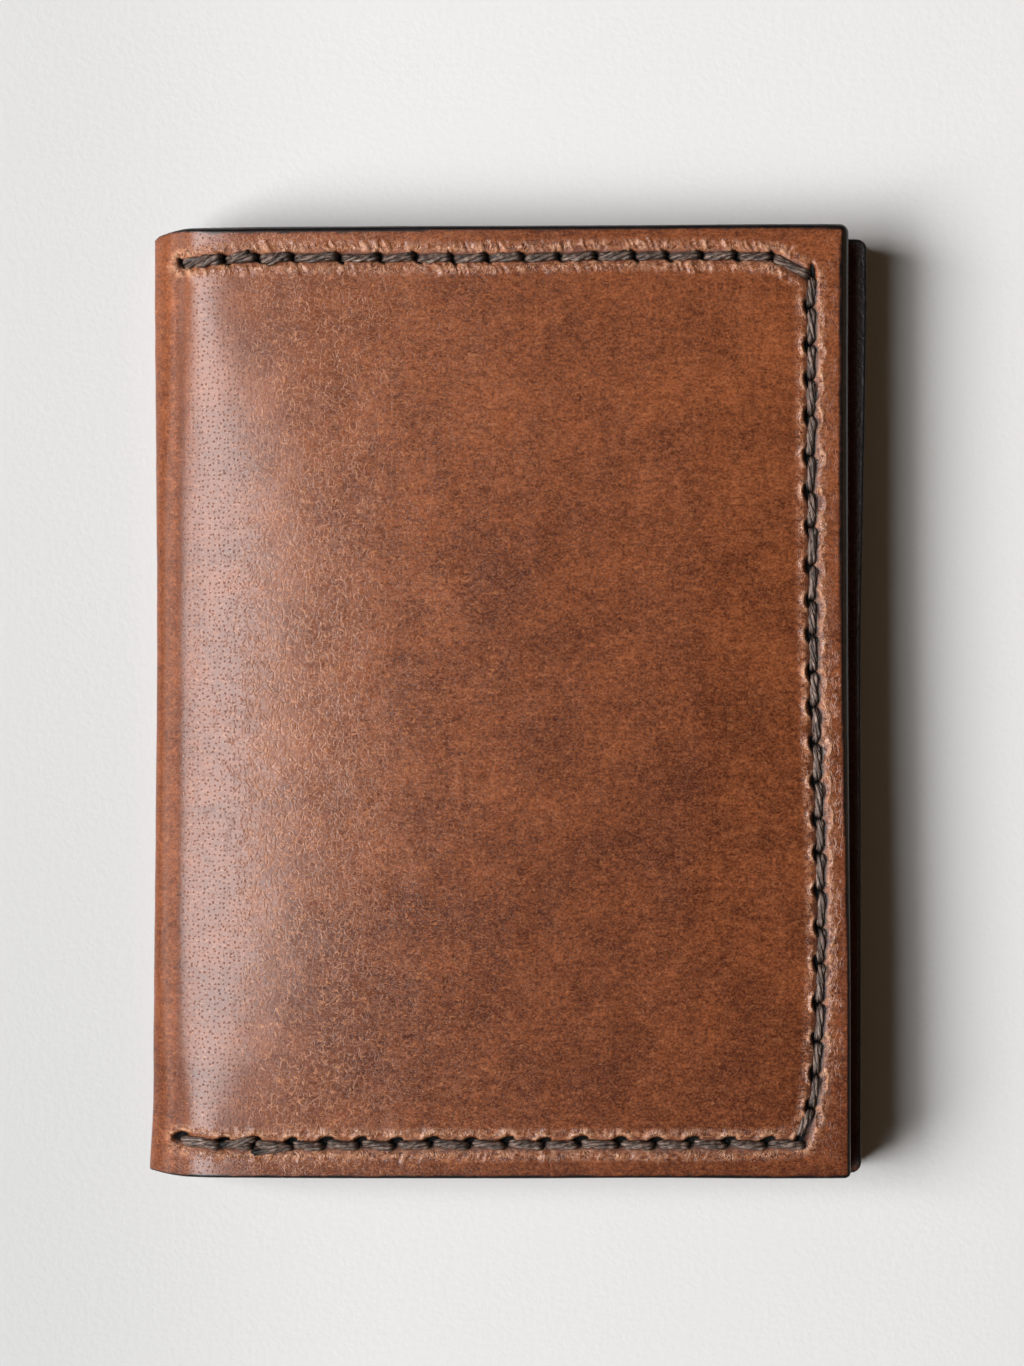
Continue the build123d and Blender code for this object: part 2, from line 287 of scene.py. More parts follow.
def slab(name, us, vs, warp, refine=None, cuts=2):
    """A thin closed body on one grid: an outer and an inner sheet and the rim
    between them. Returns the object with (s, y, side) in its vertices."""
    nu, nv = len(us), len(vs)
    U, V = np.meshgrid(us, vs, indexing="ij")
    S, Y = warp(U, V)
    grid = np.arange(nu * nv).reshape(nu, nv)
    n = nu * nv
    verts = np.concatenate([
        np.stack([S.ravel(), Y.ravel(), np.ones(n)], 1),
        np.stack([S.ravel(), Y.ravel(), np.zeros(n)], 1),
    ])
    a, b, c, d = grid[:-1, :-1], grid[1:, :-1], grid[1:, 1:], grid[:-1, 1:]
    top = np.stack([a, b, c, d], -1).reshape(-1, 4)
    bot = top[:, ::-1] + n
    loop = np.concatenate([grid[:, 0], grid[-1, 1:], grid[-2::-1, -1], grid[0, -2:0:-1]])
    nxt = np.roll(loop, -1)
    rim = np.stack([loop, loop + n, nxt + n, nxt], -1)
    me = bpy.data.meshes.new(name)
    me.from_pydata(verts.tolist(), [], np.concatenate([top, bot, rim]).tolist())
    if refine is not None:
        bm = bmesh.new()
        bm.from_mesh(me)
        bm.verts.ensure_lookup_table()
        co = np.array([v.co for v in bm.verts])
        ok = refine(co[:, 0], co[:, 1]) & (co[:, 2] > 0.5)
        inner = np.zeros(2 * n, bool)
        inner[grid[1:-1, 1:-1].ravel()] = True
        ok &= inner
        edges = [e for e in bm.edges if ok[e.verts[0].index] and ok[e.verts[1].index]]
        bmesh.ops.subdivide_edges(bm, edges=edges, cuts=cuts, use_grid_fill=True)
        many = [f for f in bm.faces if len(f.verts) > 4]
        if many:
            bmesh.ops.triangulate(bm, faces=many)
        bm.to_mesh(me)
        bm.free()
    me.polygons.foreach_set("use_smooth", [True] * len(me.polygons))
    ob = bpy.data.objects.new(name, me)
    scene.collection.objects.link(ob)
    return ob


def coords(ob):
    co = np.zeros(len(ob.data.vertices) * 3, np.float32)
    ob.data.vertices.foreach_get("co", co)
    return co.reshape(-1, 3).astype(float)


def set_coords(ob, p):
    ob.data.vertices.foreach_set("co", (np.asarray(p) * MM).astype(np.float32).ravel())
    ob.data.update()


def sharp_where(ob, flag):
    """Sharp edges between vertices that are both flagged."""
    me = ob.data
    e = np.zeros(len(me.edges) * 2, np.int32)
    me.edges.foreach_get("vertices", e)
    e = e.reshape(-1, 2)
    att = me.attributes.get("sharp_edge") or me.attributes.new("sharp_edge", "BOOLEAN", "EDGE")
    old = np.zeros(len(me.edges), bool)
    att.data.foreach_get("value", old)
    att.data.foreach_set("value", old | (flag[e[:, 0]] & flag[e[:, 1]]))


def edge_distance(s, y, s_right, y_top, y_bot, s_left=None, r_t=0.9, r_b=0.7):
    """Distance in from the outline, with its corners rounded."""
    dr, dt, db = s_right - s, y_top - y, y - y_bot
    d = np.minimum(np.minimum(dr, dt), db)
    for dv, rc in ((dt, r_t), (db, r_b)):
        c = (dr < rc) & (dv < rc)
        d = np.where(c, rc - np.hypot(rc - dr, rc - dv), d)
    if s_left is not None:
        d = np.minimum(d, s - s_left)
    return d, dr, dt, db


def corner_warp(leaf, x_left, r_t, r_b, s_nom):
    """Moves the grid so that its border lies on the real outline."""
    def warp(U, V):
        wr = ss((U - (s_nom - 14)) / 14)
        wt, wb = ss((V - (Y0 - 14)) / 14), ss((-V - (Y0 - 14)) / 14)
        x = leaf.xz(U)[0]
        Y = V + wt * (leaf.top(x) - Y0) + wb * (leaf.bottom(x) + Y0)
        S = U + wr * leaf.right(V)
        dr = s_nom - U
        for w, sign, rc in ((wt, -1, r_t), (wb, 1, r_b)):
            drop = np.where(dr < rc, rc - np.sqrt(np.maximum(rc * rc - (rc - dr) ** 2, 0)), 0)
            Y = Y + sign * drop * w
        return S, Y
    return warp


# ---------------------------------------------------------------------------
# What the stitching does to the leather
# ---------------------------------------------------------------------------
def seam_fields(leaf, s, y):
    """For points of the outer face: how far the seam moves them, and the
    masks that the leather's material reads."""
    H = leaf.hole_sy
    n = len(H)
    rng = np.random.default_rng(11 if leaf.up else 12)
    best = np.full(len(s), 99.0)
    q = np.full(len(s), 99.0)
    t_at = np.zeros(len(s))
    along = np.zeros(len(s))
    near = np.ones(len(s), bool)
    near &= (np.abs(y) > 44) | (s > leaf.s_at(28.5))
    idx = np.nonzero(near)[0]
    P = np.stack([s[idx], y[idx]], 1)
    b_d, b_q, b_t, b_l = (np.full(len(idx), 99.0) for _ in range(4))
    run = 0.0
    for k in range(n - 1):
        a, b = H[k], H[k + 1]
        L = np.linalg.norm(b - a)
        u = (b - a) / L
        nrm = np.array([-u[1], u[0]])     # points outwards, away from the leaf's middle
        v = P - a
        tl = v @ u
        tc = np.clip(tl, 0, L)
        qq = v @ nrm
        dist = np.hypot(tl - tc, qq)
        m = dist < b_d
        b_d[m] = dist[m]
        b_q[m] = qq[m]
        b_t[m] = (tc / L)[m]
        b_l[m] = (run + tc)[m]
        run += L
    best[idx], q[idx], t_at[idx], along[idx] = b_d, b_q, b_t, b_l

    d = best
    disp = np.zeros(len(s))
    lively = 0.75 + 0.35 * vnoise(along, along * 0, 5.0, 31)
    # the furrow that the pulled thread leaves, deepest near the holes
    end = np.exp(-((t_at * 4.05 / 0.75) ** 2)) + np.exp(-(((1 - t_at) * 4.05 / 0.75) ** 2))
    furrow = 0.24 + 0.22 * end
    disp -= furrow * np.exp(-((d / 0.62) ** 2)) * (0.9 + 0.15 * lively)
    # the swollen lips either side of it, scalloped between the holes
    swell = np.clip(end, 0, 1) ** 1.5
    patchy = 0.55 + 0.75 * vnoise(s, y, 0.9, 33)
    disp += (0.025 + 0.10 * swell) * lively * patchy * np.exp(-(((d - 1.05) / 0.34) ** 2))
    # a broad shallow dip around the whole seam
    disp -= 0.10 * np.exp(-((d / 2.6) ** 2))

    hole = np.zeros(len(s))
    hole_r = np.full(len(s), 9.0)
    crest = np.zeros(len(s))
    cut_in, cut_rim = np.zeros(len(s)), np.zeros(len(s))
    local = np.zeros((len(s), 3))
    local[:, 1] = 9.0
    r0, r1 = leaf.rows[0], leaf.rows[0] + leaf.rows[1]
    for k in range(n):
        a, b = H[max(k - 1, 0)], H[min(k + 1, n - 1)]
        u = (b - a) / np.linalg.norm(b - a)
        nrm = np.array([-u[1], u[0]])
        inward = -nrm
        row = 0 if k < r0 else (1 if k < r1 else 2)
        out_by = (0.02, 0.36, 0.44)[row] + rng.uniform(-0.06, 0.06)
        c = H[k] + inward * out_by + u * rng.uniform(-0.08, 0.08)
        length = (0.82, 0.78, 0.80)[row] + rng.uniform(-0.10, 0.12)
        width = (0.29, 0.38, 0.42)[row] + rng.uniform(-0.04, 0.05)
        turn = (-48, 10, 16)[row] + rng.uniform(-9, 9)
        if k == r0:
            # the corner hole is torn upwards
            u, nrm = np.array([0.0, -1.0]), np.array([1.0, 0.0])
            c, length, width, turn = H[k] + np.array([0.20, 0.55]), 0.95, 0.30, 4
        near = (np.abs(s - c[0]) < 4.5) & (np.abs(y - c[1]) < 4.5)
        i = np.nonzero(near)[0]
        if len(i) == 0:
            continue
        v = np.stack([s[i], y[i]], 1) - c
        al, ac = v @ u, v @ nrm
        ang = math.radians(turn)
        ca, sa = math.cos(ang), math.sin(ang)
        e1 = (al * ca + ac * sa) / length
        e2 = (-al * sa + ac * ca) / width
        e = e1 ** 2 + e2 ** 2
        m = np.exp(-(e ** 1.6))
        disp[i] -= (0.62 + rng.uniform(-0.08, 0.10)) * m
        hole[i] = np.maximum(hole[i], np.exp(-((e / 1.15) ** 2)))
        # the lip that the awl pushed up around the slit, open along the thread
        away = np.sqrt(e1 ** 2 * (length / width) ** 0.9 + e2 ** 2)
        ring = np.exp(-(((away - 1.95) / 0.50) ** 2)) * (0.35 + 0.65 * ss((-e2 + 0.2) / 0.9))
        v0 = np.stack([s[i], y[i]], 1) - H[k]
        al, ac = v0 @ u, v0 @ nrm
        ragged = 0.45 + 0.9 * (0.5 + 0.5 * vnoise(v0[:, 0] + 7 * k, v0[:, 1], 0.7, 41))
        push = (0.10, 0.15, 0.13)[row] * rng.uniform(0.65, 1.35) * ragged
        lipped = ring * ss((np.abs(ac + out_by * 0.4) - 0.30) / 0.25)
        disp[i] += push * lipped
        crest[i] = np.maximum(crest[i], lipped * ragged)
        if row == 1 and k > r0:
            # the awl's cut shows past the thread as a leaf-shaped slit
            size = rng.uniform(0.65, 1.15)
            tilt = math.radians(rng.uniform(-16, 12))
            bent = 0.16 * vnoise(v0[:, 0] + 3 * k, v0[:, 1], 0.9, 43)
            g1 = al - rng.uniform(0.3, 1.1)
            g2 = ac - rng.uniform(0.82, 1.04) + bent + 0.10 * g1 ** 2
            f1 = (g1 * math.cos(tilt) + g2 * math.sin(tilt)) / (1.25 * size)
            f2 = (-g1 * math.sin(tilt) + g2 * math.cos(tilt)) / (0.36 * size)
            f = np.sqrt(f1 ** 2 + f2 ** 2)
            deep = rng.uniform(0.35, 1.15)
            rim = np.exp(-(((f - 1.50) / 0.34) ** 2)) * (0.35 + 0.65 * ss(0.5 + 0.9 * vnoise(v0[:, 0], v0[:, 1] + 5 * k, 0.8, 44)))
            disp[i] += deep * (-0.12 * np.exp(-(f ** 4)) + 0.085 * rim)
            cut_in[i] = np.maximum(cut_in[i], deep * np.exp(-(f ** 4)))
            cut_rim[i] = np.maximum(cut_rim[i], deep * rim)
        r_k = np.hypot(al, ac)
        closer = r_k < hole_r[i]
        j = i[closer]
        hole_r[j] = r_k[closer]
        local[j, 0], local[j, 1], local[j, 2] = al[closer], ac[closer], 1.37 * k + 100.0 * (row == 1) + 200.0 * (row == 2)
    # pulled wrinkles running away from the holes
    wr = vnoise(along * 1.0, d * 0.35, 0.62, 51) * np.exp(-(((d - 1.25) / 0.6) ** 2))
    disp += 0.04 * wr * (0.4 + 0.6 * end)
    # along the two end rows, slanting pleats pulled up by the thread
    row_end = (np.abs(y) > 45.5) & (s < leaf.s_at(31.5))
    lean = along + np.sign(y) * 0.45 * q + 0.20 * vnoise(s, y, 1.1, 54)
    fold_n = 0.80 * vnoise(lean, 0.16 * d + 9 * np.sign(q), 0.72, 52) + 0.46 * vnoise(lean, 0.3 * d + 4 * np.sign(q), 0.40, 55)
    reach = 0.55 + 0.45 * vnoise(lean, 3.0 * np.sign(q), 1.5, 53)
    pleat = ss((0.22 - np.abs(fold_n - 0.05)) / 0.17) * ss((d - 0.48) / 0.22) * ss((1.25 + 1.15 * reach - d) / 0.5)
    pleat = pleat * (0.10 + 0.90 * ss(0.40 + 1.5 * vnoise(lean, 5 * np.sign(q), 1.9, 56))) * row_end
    pleat = pleat * np.where(y > 0, 0.9, 0.45)
    disp += 0.120 * pleat
    disp -= np.where(y > 0, 0.06, 0.03) * ss((fold_n - 0.26) / 0.20) * ss((d - 0.5) / 0.25) * ss((2.1 - d) / 0.8) * row_end
    if not leaf.up:
        # the underside lies on its cover: nothing stands proud of it
        disp -= 0.26 * np.exp(-((d / 0.75) ** 2))
        disp = np.minimum(disp, 0.02)
    return disp, hole, hole_r, d, q, along, crest, local, cut_in, cut_rim, pleat


def cover(name, leaf):
    up = leaf.up
    s_nom = leaf.s_max
    us = lines(0.0, s_nom, 0.6, eb=E_COVER, fine_a=(5.4, 0.3))
    vs = lines(-Y0, Y0, 0.6, ea=E_COVER, eb=E_COVER)
    r_t, r_b = (1.0, 0.7) if up else (1.2, 1.2)
    warp = corner_warp(leaf, None, r_t, r_b, s_nom)
    H = leaf.hole_sy

    def refine(s, y):
        d = np.full(len(s), 99.0)
        for k in range(len(H) - 1):
            a, b = H[k], H[k + 1]
            L = np.linalg.norm(b - a)
            u = (b - a) / L
            vx, vy = s - a[0], y - a[1]
            t = np.clip(vx * u[0] + vy * u[1], 0, L)
            d = np.minimum(d, np.hypot(vx - t * u[0], vy - t * u[1]))
        return d < 1.95

    ob = slab(name, us, vs, warp, refine, cuts=3 if up else 2)
    c = coords(ob)
    s, y, outer = c[:, 0], c[:, 1], c[:, 2] > 0.5
    x = leaf.xz(s)[0]
    s_right = s_nom + leaf.right(y)
    d, dr, dt, db = edge_distance(s, y, s_right, leaf.top(x), leaf.bottom(x), None, r_t, r_b)
    d = np.maximum(d, 0)
    # rounding of the outer edge differs from side to side
    wr, wt, wb = np.exp(-dr / 0.8), np.exp(-dt / 0.8), np.exp(-db / 0.8)
    if up:
        rr = 1.06 - 0.66 * ss((22 - y) / 62)
        rt = (0.60 + 0.20 * ss((-2 - x) / 22)) * (0.22 + 0.78 * ss((s - 1.2) / 7.5))
        rb = 0.36 * (0.4 + 0.6 * ss((s - 1.0) / 5))
    else:
        rr = 0.75
        rt = 0.60 * (0.25 + 0.75 * ss((s - 1.2) / 7.0))
        rb = 0.45 * (0.4 + 0.6 * ss((s - 1.0) / 5))
    rh = (wr * rr + wt * rt + wb * rb) / (wr + wt + wb)
    rv = np.minimum(rh * 1.15, 1.05)
    f = np.clip(1 - d / rh, 0, 1)
    drop = rv * (1 - np.sqrt(1 - f ** 2))
    w = np.where(outer, -drop, -COVER_T)
    ri = 0.22
    fi = np.clip(1 - d / ri, 0, 1)
    w = np.where(outer, w, w + ri * (1 - np.sqrt(1 - fi ** 2)))
    disp = np.zeros(len(s))
    hole, hole_r = np.zeros(len(s)), np.full(len(s), 9.0)
    dist, q, along = np.full(len(s), 9.0), np.full(len(s), 9.0), np.zeros(len(s))
    o = np.nonzero(outer)[0]
    f_disp, f_hole, f_r, f_d, f_q, f_a, f_c, f_l, *f_marks = seam_fields(leaf, s[o], y[o])
    crest, local = np.zeros(len(s)), np.zeros((len(s), 3))
    local[:, 1] = 9.0
    crest[o], local[o] = f_c, f_l
    fade = ss(d[o] / 0.7)
    disp[o] = f_disp * fade
    # slight life in the sheet itself
    disp[o] += 0.018 * vnoise(s[o], y[o], 2.6, 61) * fade + 0.012 * vnoise(s[o], y[o], 5.5, 62) * fade
    hole[o], hole_r[o], dist[o], q[o], along[o] = f_hole, f_r, f_d, f_q, f_a
    w = w + disp
    p = leaf.place(s, y, w)
    set_coords(ob, p)
    me = ob.data
    sgn = 1.0 if up else -1.0
    put(me, "sheet", np.stack([s * sgn, y, np.where(outer, 0.0, 3.0)], 1), "FLOAT_VECTOR")
    lip = ss((1.10 * rh - d + 0.05 * vnoise(s, y, 1.3, 71) + 0.03 * vnoise(s, y, 0.5, 72)) / (0.15 * rh))
    put(me, "edge", np.where(outer, lip, ss((0.5 - d) / 0.3)))
    put(me, "inside", np.where(outer, 0.0, 1.0))
    put(me, "hole", hole)
    put(me, "hole_r", np.minimum(hole_r, 9.0))
    put(me, "seam_d", np.minimum(dist, 9.0))
    put(me, "crest", crest)
    for word, mark in zip(("cut_in", "cut_rim", "pleat"), f_marks):
        full = np.zeros(len(s))
        full[o] = mark
        put(me, word, full)
    put(me, "local", local, "FLOAT_VECTOR")
    put(me, "near_edge", np.exp(-d / 1.6))
    # the spine's face: its grain is worn smooth, and its colour is darkened with painted shade
    put(me, "fold_wear_and_shade", np.where(outer, ss((3.7 - s) / 1.7), 0.0))
    sharp_where(ob, s < 1e-4)
    return ob


# ---------------------------------------------------------------------------
# Inner panels: the lining and the three pockets of each leaf
# ---------------------------------------------------------------------------
def panel(name, leaf, x_left, depth0, depth1, mouth):
    s_nom = leaf.s_max
    s_left = leaf.s_at(x_left)
    us = lines(s_left, s_nom, 1.0, ea=E_PANEL, eb=E_PANEL)
    vs = lines(-Y0, Y0, 1.0, ea=E_PANEL, eb=E_PANEL)
    r_t, r_b = (1.0, 0.7) if leaf.up else (1.2, 1.2)
    ob = slab(name, us, vs, corner_warp(leaf, x_left, r_t, r_b, s_nom))
    c = coords(ob)
    s, y, outer = c[:, 0], c[:, 1], c[:, 2] > 0.5
    x = leaf.xz(s)[0]
    s_right = s_nom + leaf.right(y)
    # the mouth dips very slightly between its ends, as a cut strap does
    bow = 0.0
    if mouth:
        bow = 0.35 * np.cos(np.clip(y / Y0, -1, 1) * math.pi / 2) * np.exp(-(s - s_left) / 6.0)
    d, dr, dt, db = edge_distance(s, y, s_right, leaf.top(x), leaf.bottom(x), s_left, r_t, r_b)
    d = np.maximum(d, 0)
    r = 0.26
    f = np.clip(1 - d / r, 0, 1)
    drop = r * (1 - np.sqrt(1 - f ** 2))
    inset = 0.06
    w = np.where(outer, -depth0 - drop, -depth1 + drop)
    ds = s - s_left
    crease = np.zeros(len(s))
    if mouth:
        crease = np.exp(-((ds - 2.2) / 0.28) ** 2) * (np.abs(y) < 47.5)
    # pressed line along the mouth, and the soft sink at the seam
    seam_in = np.minimum(np.abs(np.abs(y) - 49.2), np.abs(x - (33.7 if leaf.up else 36.3)) + 99 * (np.abs(y) > 49.5))
    sink = 0.16 * np.exp(-((seam_in / 0.8) ** 2))
    life = 0.03 * vnoise(s, y, 6.0, 81 + int(depth1 * 10))
    w = w + np.where(outer, 0, 0.10 * crease + sink + life * ss(d / 2))
    # each mouth lifts a hair off the panel under it
    if mouth:
        lift = 0.16 * np.exp(-ds / 2.2) * ss((47 - np.abs(y)) / 12)
        w = w - lift
    p = leaf.place(s + bow, y, w)
    me = ob.data
    # all the edges are cut and burnished together
    set_coords(ob, p)
    sgn = 1.0 if leaf.up else -1.0
    put(me, "sheet", np.stack([s * sgn + 137 * depth1, y + 61 * depth1, np.where(outer, 5.0, 0.0)], 1), "FLOAT_VECTOR")
    dm = np.where(mouth, ds, 9.0) if mouth else np.full(len(s), 9.0)
    rim = np.minimum(np.minimum(dr, dt), db)
    put(me, "edge", ss((0.42 - rim) / 0.2))
    put(me, "burnish", ss((0.85 - dm) / 0.5))
    put(me, "crease", crease)
    put(me, "inside", np.where(outer, 1.0, 0.0))
    put(me, "seam_d", np.minimum(seam_in, 9.0))
    del inset
    return ob


# ---------------------------------------------------------------------------
# Thread: every stitch is laid up from plies
# ---------------------------------------------------------------------------
class Tubes:
    def __init__(self):
        self.v, self.f, self.fib, self.depth = [], [], [], []
        self.n = 0

    def add(self, centre, side, up, radii, squash, code, thread_shade, k=9):
        """A tube round centre points with a round section of given radii."""
        m = len(centre)
        a = np.linspace(0, 2 * math.pi, k, endpoint=False)
        ring = (centre[:, None, :] + radii[:, None, None] * (
            np.cos(a)[None, :, None] * side[:, None, :]
            + squash * np.sin(a)[None, :, None] * up[:, None, :]))
        self.v.append(ring.reshape(-1, 3))
        L = np.concatenate([[0], np.cumsum(np.linalg.norm(np.diff(centre, axis=0), axis=1))])
        fib = np.stack([np.repeat(L, k), np.tile(a, m), np.full(m * k, code)], 1)
        self.fib.append(fib)
        self.depth.append(np.repeat(thread_shade, k))
        i = np.arange(m - 1)[:, None] * k
        j = np.arange(k)[None, :]
        jn = (j + 1) % k
        f = np.stack([i + j, i + jn, i + k + jn, i + k + j], -1).reshape(-1, 4) + self.n
        self.f.extend(f.tolist())
        self.f.append((self.n + np.arange(k))[::-1].tolist())
        self.f.append((self.n + (m - 1) * k + np.arange(k)).tolist())
        self.n += m * k

    def build(self, name):
        ob = new_object(name, np.concatenate(self.v), self.f)
        put(ob.data, "fib", np.concatenate(self.fib), "FLOAT_VECTOR")
        put(ob.data, "thread_shade", np.concatenate(self.depth))
        return ob


def lay_stitch(tubes, leaf, a, b, top, facing, rng, width=1.0, lean=0.12, plies=3,
               drop=1.15, shift=0.0, twist=1.0, thick=1.0, pinch=0.30, reach=0.36,
               shade=0.0, fibres=3, m=28):
    """One stitch from hole a to hole b, diving into both. top is the depth of
    its centre line below the outer face, facing +1 outside and -1 inside."""
    a, b = np.asarray(a, float), np.asarray(b, float)
    L = np.linalg.norm(b - a)
    u = (b - a) / L
    nrm = np.array([-u[1], u[0]])
    t = np.linspace(0, 1, m)
    t = t + 0.06 * np.sin(4 * math.pi * t) * -0.25
    wob = rng.uniform(-0.07, 0.07) * np.sin(math.pi * t) + rng.uniform(-0.05, 0.05) * np.sin(2 * math.pi * t)
    ends = np.cos(math.pi * t)
    sy = a[None, :] + t[:, None] * (b - a) + nrm[None, :] * (lean * ends + wob + shift)[:, None]
    e = t * L
    dive = np.exp(-((e / reach) ** 2)) + np.exp(-(((L - e) / reach) ** 2))
    belly = 0.05 * np.sin(math.pi * t)
    w = -(top) * np.ones(m) + facing * (belly - drop * dive)
    c = leaf.place(sy[:, 0], sy[:, 1], w)
    tan = np.gradient(c, axis=0)
    tan /= np.linalg.norm(tan, axis=1)[:, None]
    up = leaf.out(sy[:, 0]) * facing
    side = np.cross(tan, up)
    side /= np.linalg.norm(side, axis=1)[:, None]
    up = np.cross(side, tan)
    narrow = 1 - pinch * np.exp(-((e / 0.55) ** 2)) - pinch * np.exp(-(((L - e) / 0.55) ** 2))
    phase = rng.uniform(0, 2 * math.pi)
    pitch = 5.6 * rng.uniform(0.8, 1.35)
    rp = 0.262 * width * thick
    rr = 0.240 * width * thick
    # painted shade: the thread is darkened where it dives into its holes, a little along its ends, and by shade
    # towards the end of the stitch
    dark = np.clip(dive + 0.22 * (0.5 - 0.5 * np.tanh((e - 0.85) / 0.3))
                   + 0.22 * (0.5 + 0.5 * np.tanh((e - (L - 0.85)) / 0.3)) + shade * ss((t - 0.45) / 0.5), 0, 1)
    for k in range(plies):
        ang = phase + twist * 2 * math.pi * e / pitch + 2 * math.pi * k / plies
        loose = 1 + 0.22 * np.sin(3 * t * math.pi + k * 2.1 + phase) + rng.uniform(-0.15, 0.15)
        cc = c + (rr * narrow * loose * np.cos(ang))[:, None] * side \
            + (0.80 * rr * narrow * np.sin(ang))[:, None] * up
        lump = 1 + 0.10 * np.sin(5 * t * math.pi + k) + 0.06 * np.sin(11 * t * math.pi + 2.3 * k + phase)
        tubes.add(cc, side, up, rp * rng.uniform(0.84, 1.14) * narrow * lump, 0.92,
                  rng.uniform(0, 50), dark, k=9 if facing > 0 else 7)
    for k in range(fibres):
        # loose filaments wound less regularly than the plies
        ang = phase + 1.0 + rng.uniform(0.5, 1.5) * 2 * math.pi * e / pitch + 2 * math.pi * (k + rng.uniform(-0.3, 0.3)) / fibres
        far = (rr + 0.72 * rp) * (1 + 0.14 * np.sin(rng.uniform(2, 5) * t * math.pi + rng.uniform(0, 6)))
        cc = c + (far * narrow * np.cos(ang))[:, None] * side + (0.84 * far * narrow * np.sin(ang))[:, None] * up
        tubes.add(cc, side, up, 0.058 * rng.uniform(0.7, 1.4) * np.ones(m), 1.0, rng.uniform(0, 50),
                  np.clip(dark + rng.uniform(-0.15, 0.25), 0, 1), k=5)


def inner_level(x):
    return sum(1 for mth in MOUTHS if x > mth + 0.4)


def seam_thread(name, leaf, seed):
    rng = np.random.default_rng(seed)
    tubes = Tubes()
    H = leaf.hole_sy
    n = len(H)
    tops = [LINING[1]] + [p[1] for p in POCKETS]
    r0 = leaf.rows[0]
    r1 = r0 + leaf.rows[1]
    sunk = 0.0 if leaf.up else 0.34
    for k in range(n - 1):
        row = 0 if k < r0 - 1 else (1 if k < r1 - 1 else 2)
        lean = (-0.12, 0.10, 0.15)[row]
        a, b = H[k].copy(), H[k + 1].copy()
        if k == r0 - 1:
            lean = 0.0
        if k == r1 - 1:
            # the run turns the corner a little short of the last hole
            lean, b = 0.0, b + [-0.75, 0.50]
        if k == r1:
            a = a + [0.45, -0.25]
        first = k < 3 or k > n - 5
        thick = rng.uniform(0.92, 1.08) * (1.25 if k == 0 or k == n - 2 else 1.0)
        thick *= (1.0, 0.88, 1.0)[row]
        pinch = (0.30, 0.07, 0.30)[row]
        reach = (0.34, 0.28, 0.34)[row]
        lay_stitch(tubes, leaf, a, b, 0.20 + sunk - 0.04 * first, 1, rng, lean=lean, thick=thick,
                   pinch=pinch, reach=reach, shade=(0.25, 0.12, 0.0)[row], drop=1.15 - sunk)
        if first and k not in (0, n - 2):
            # the run is stitched back over itself to lock its end
            sh = 0.46 if k % 2 else -0.40
            lay_stitch(tubes, leaf, H[k] + [0.5, 0.0], H[k + 1] - [0.6, 0.0], 0.05 + sunk, 1, rng,
                       lean=-0.26, thick=0.80, shift=sh, shade=0.5)
        lv = max(inner_level(leaf.holes[k][0]), inner_level(leaf.holes[k + 1][0]))
        lay_stitch(tubes, leaf, H[k], H[k + 1], tops[lv] - 0.10, -1, rng, lean=-lean, thick=0.86,
                   drop=0.9, fibres=0, m=18)
    return tubes.build(name)


# ---------------------------------------------------------------------------
# Node helpers
# ---------------------------------------------------------------------------
def lin(r, g, b):
    def one(c):
        c /= 255.0
        return c / 12.92 if c <= 0.04045 else ((c + 0.055) / 1.055) ** 2.4
    return (one(r), one(g), one(b), 1.0)


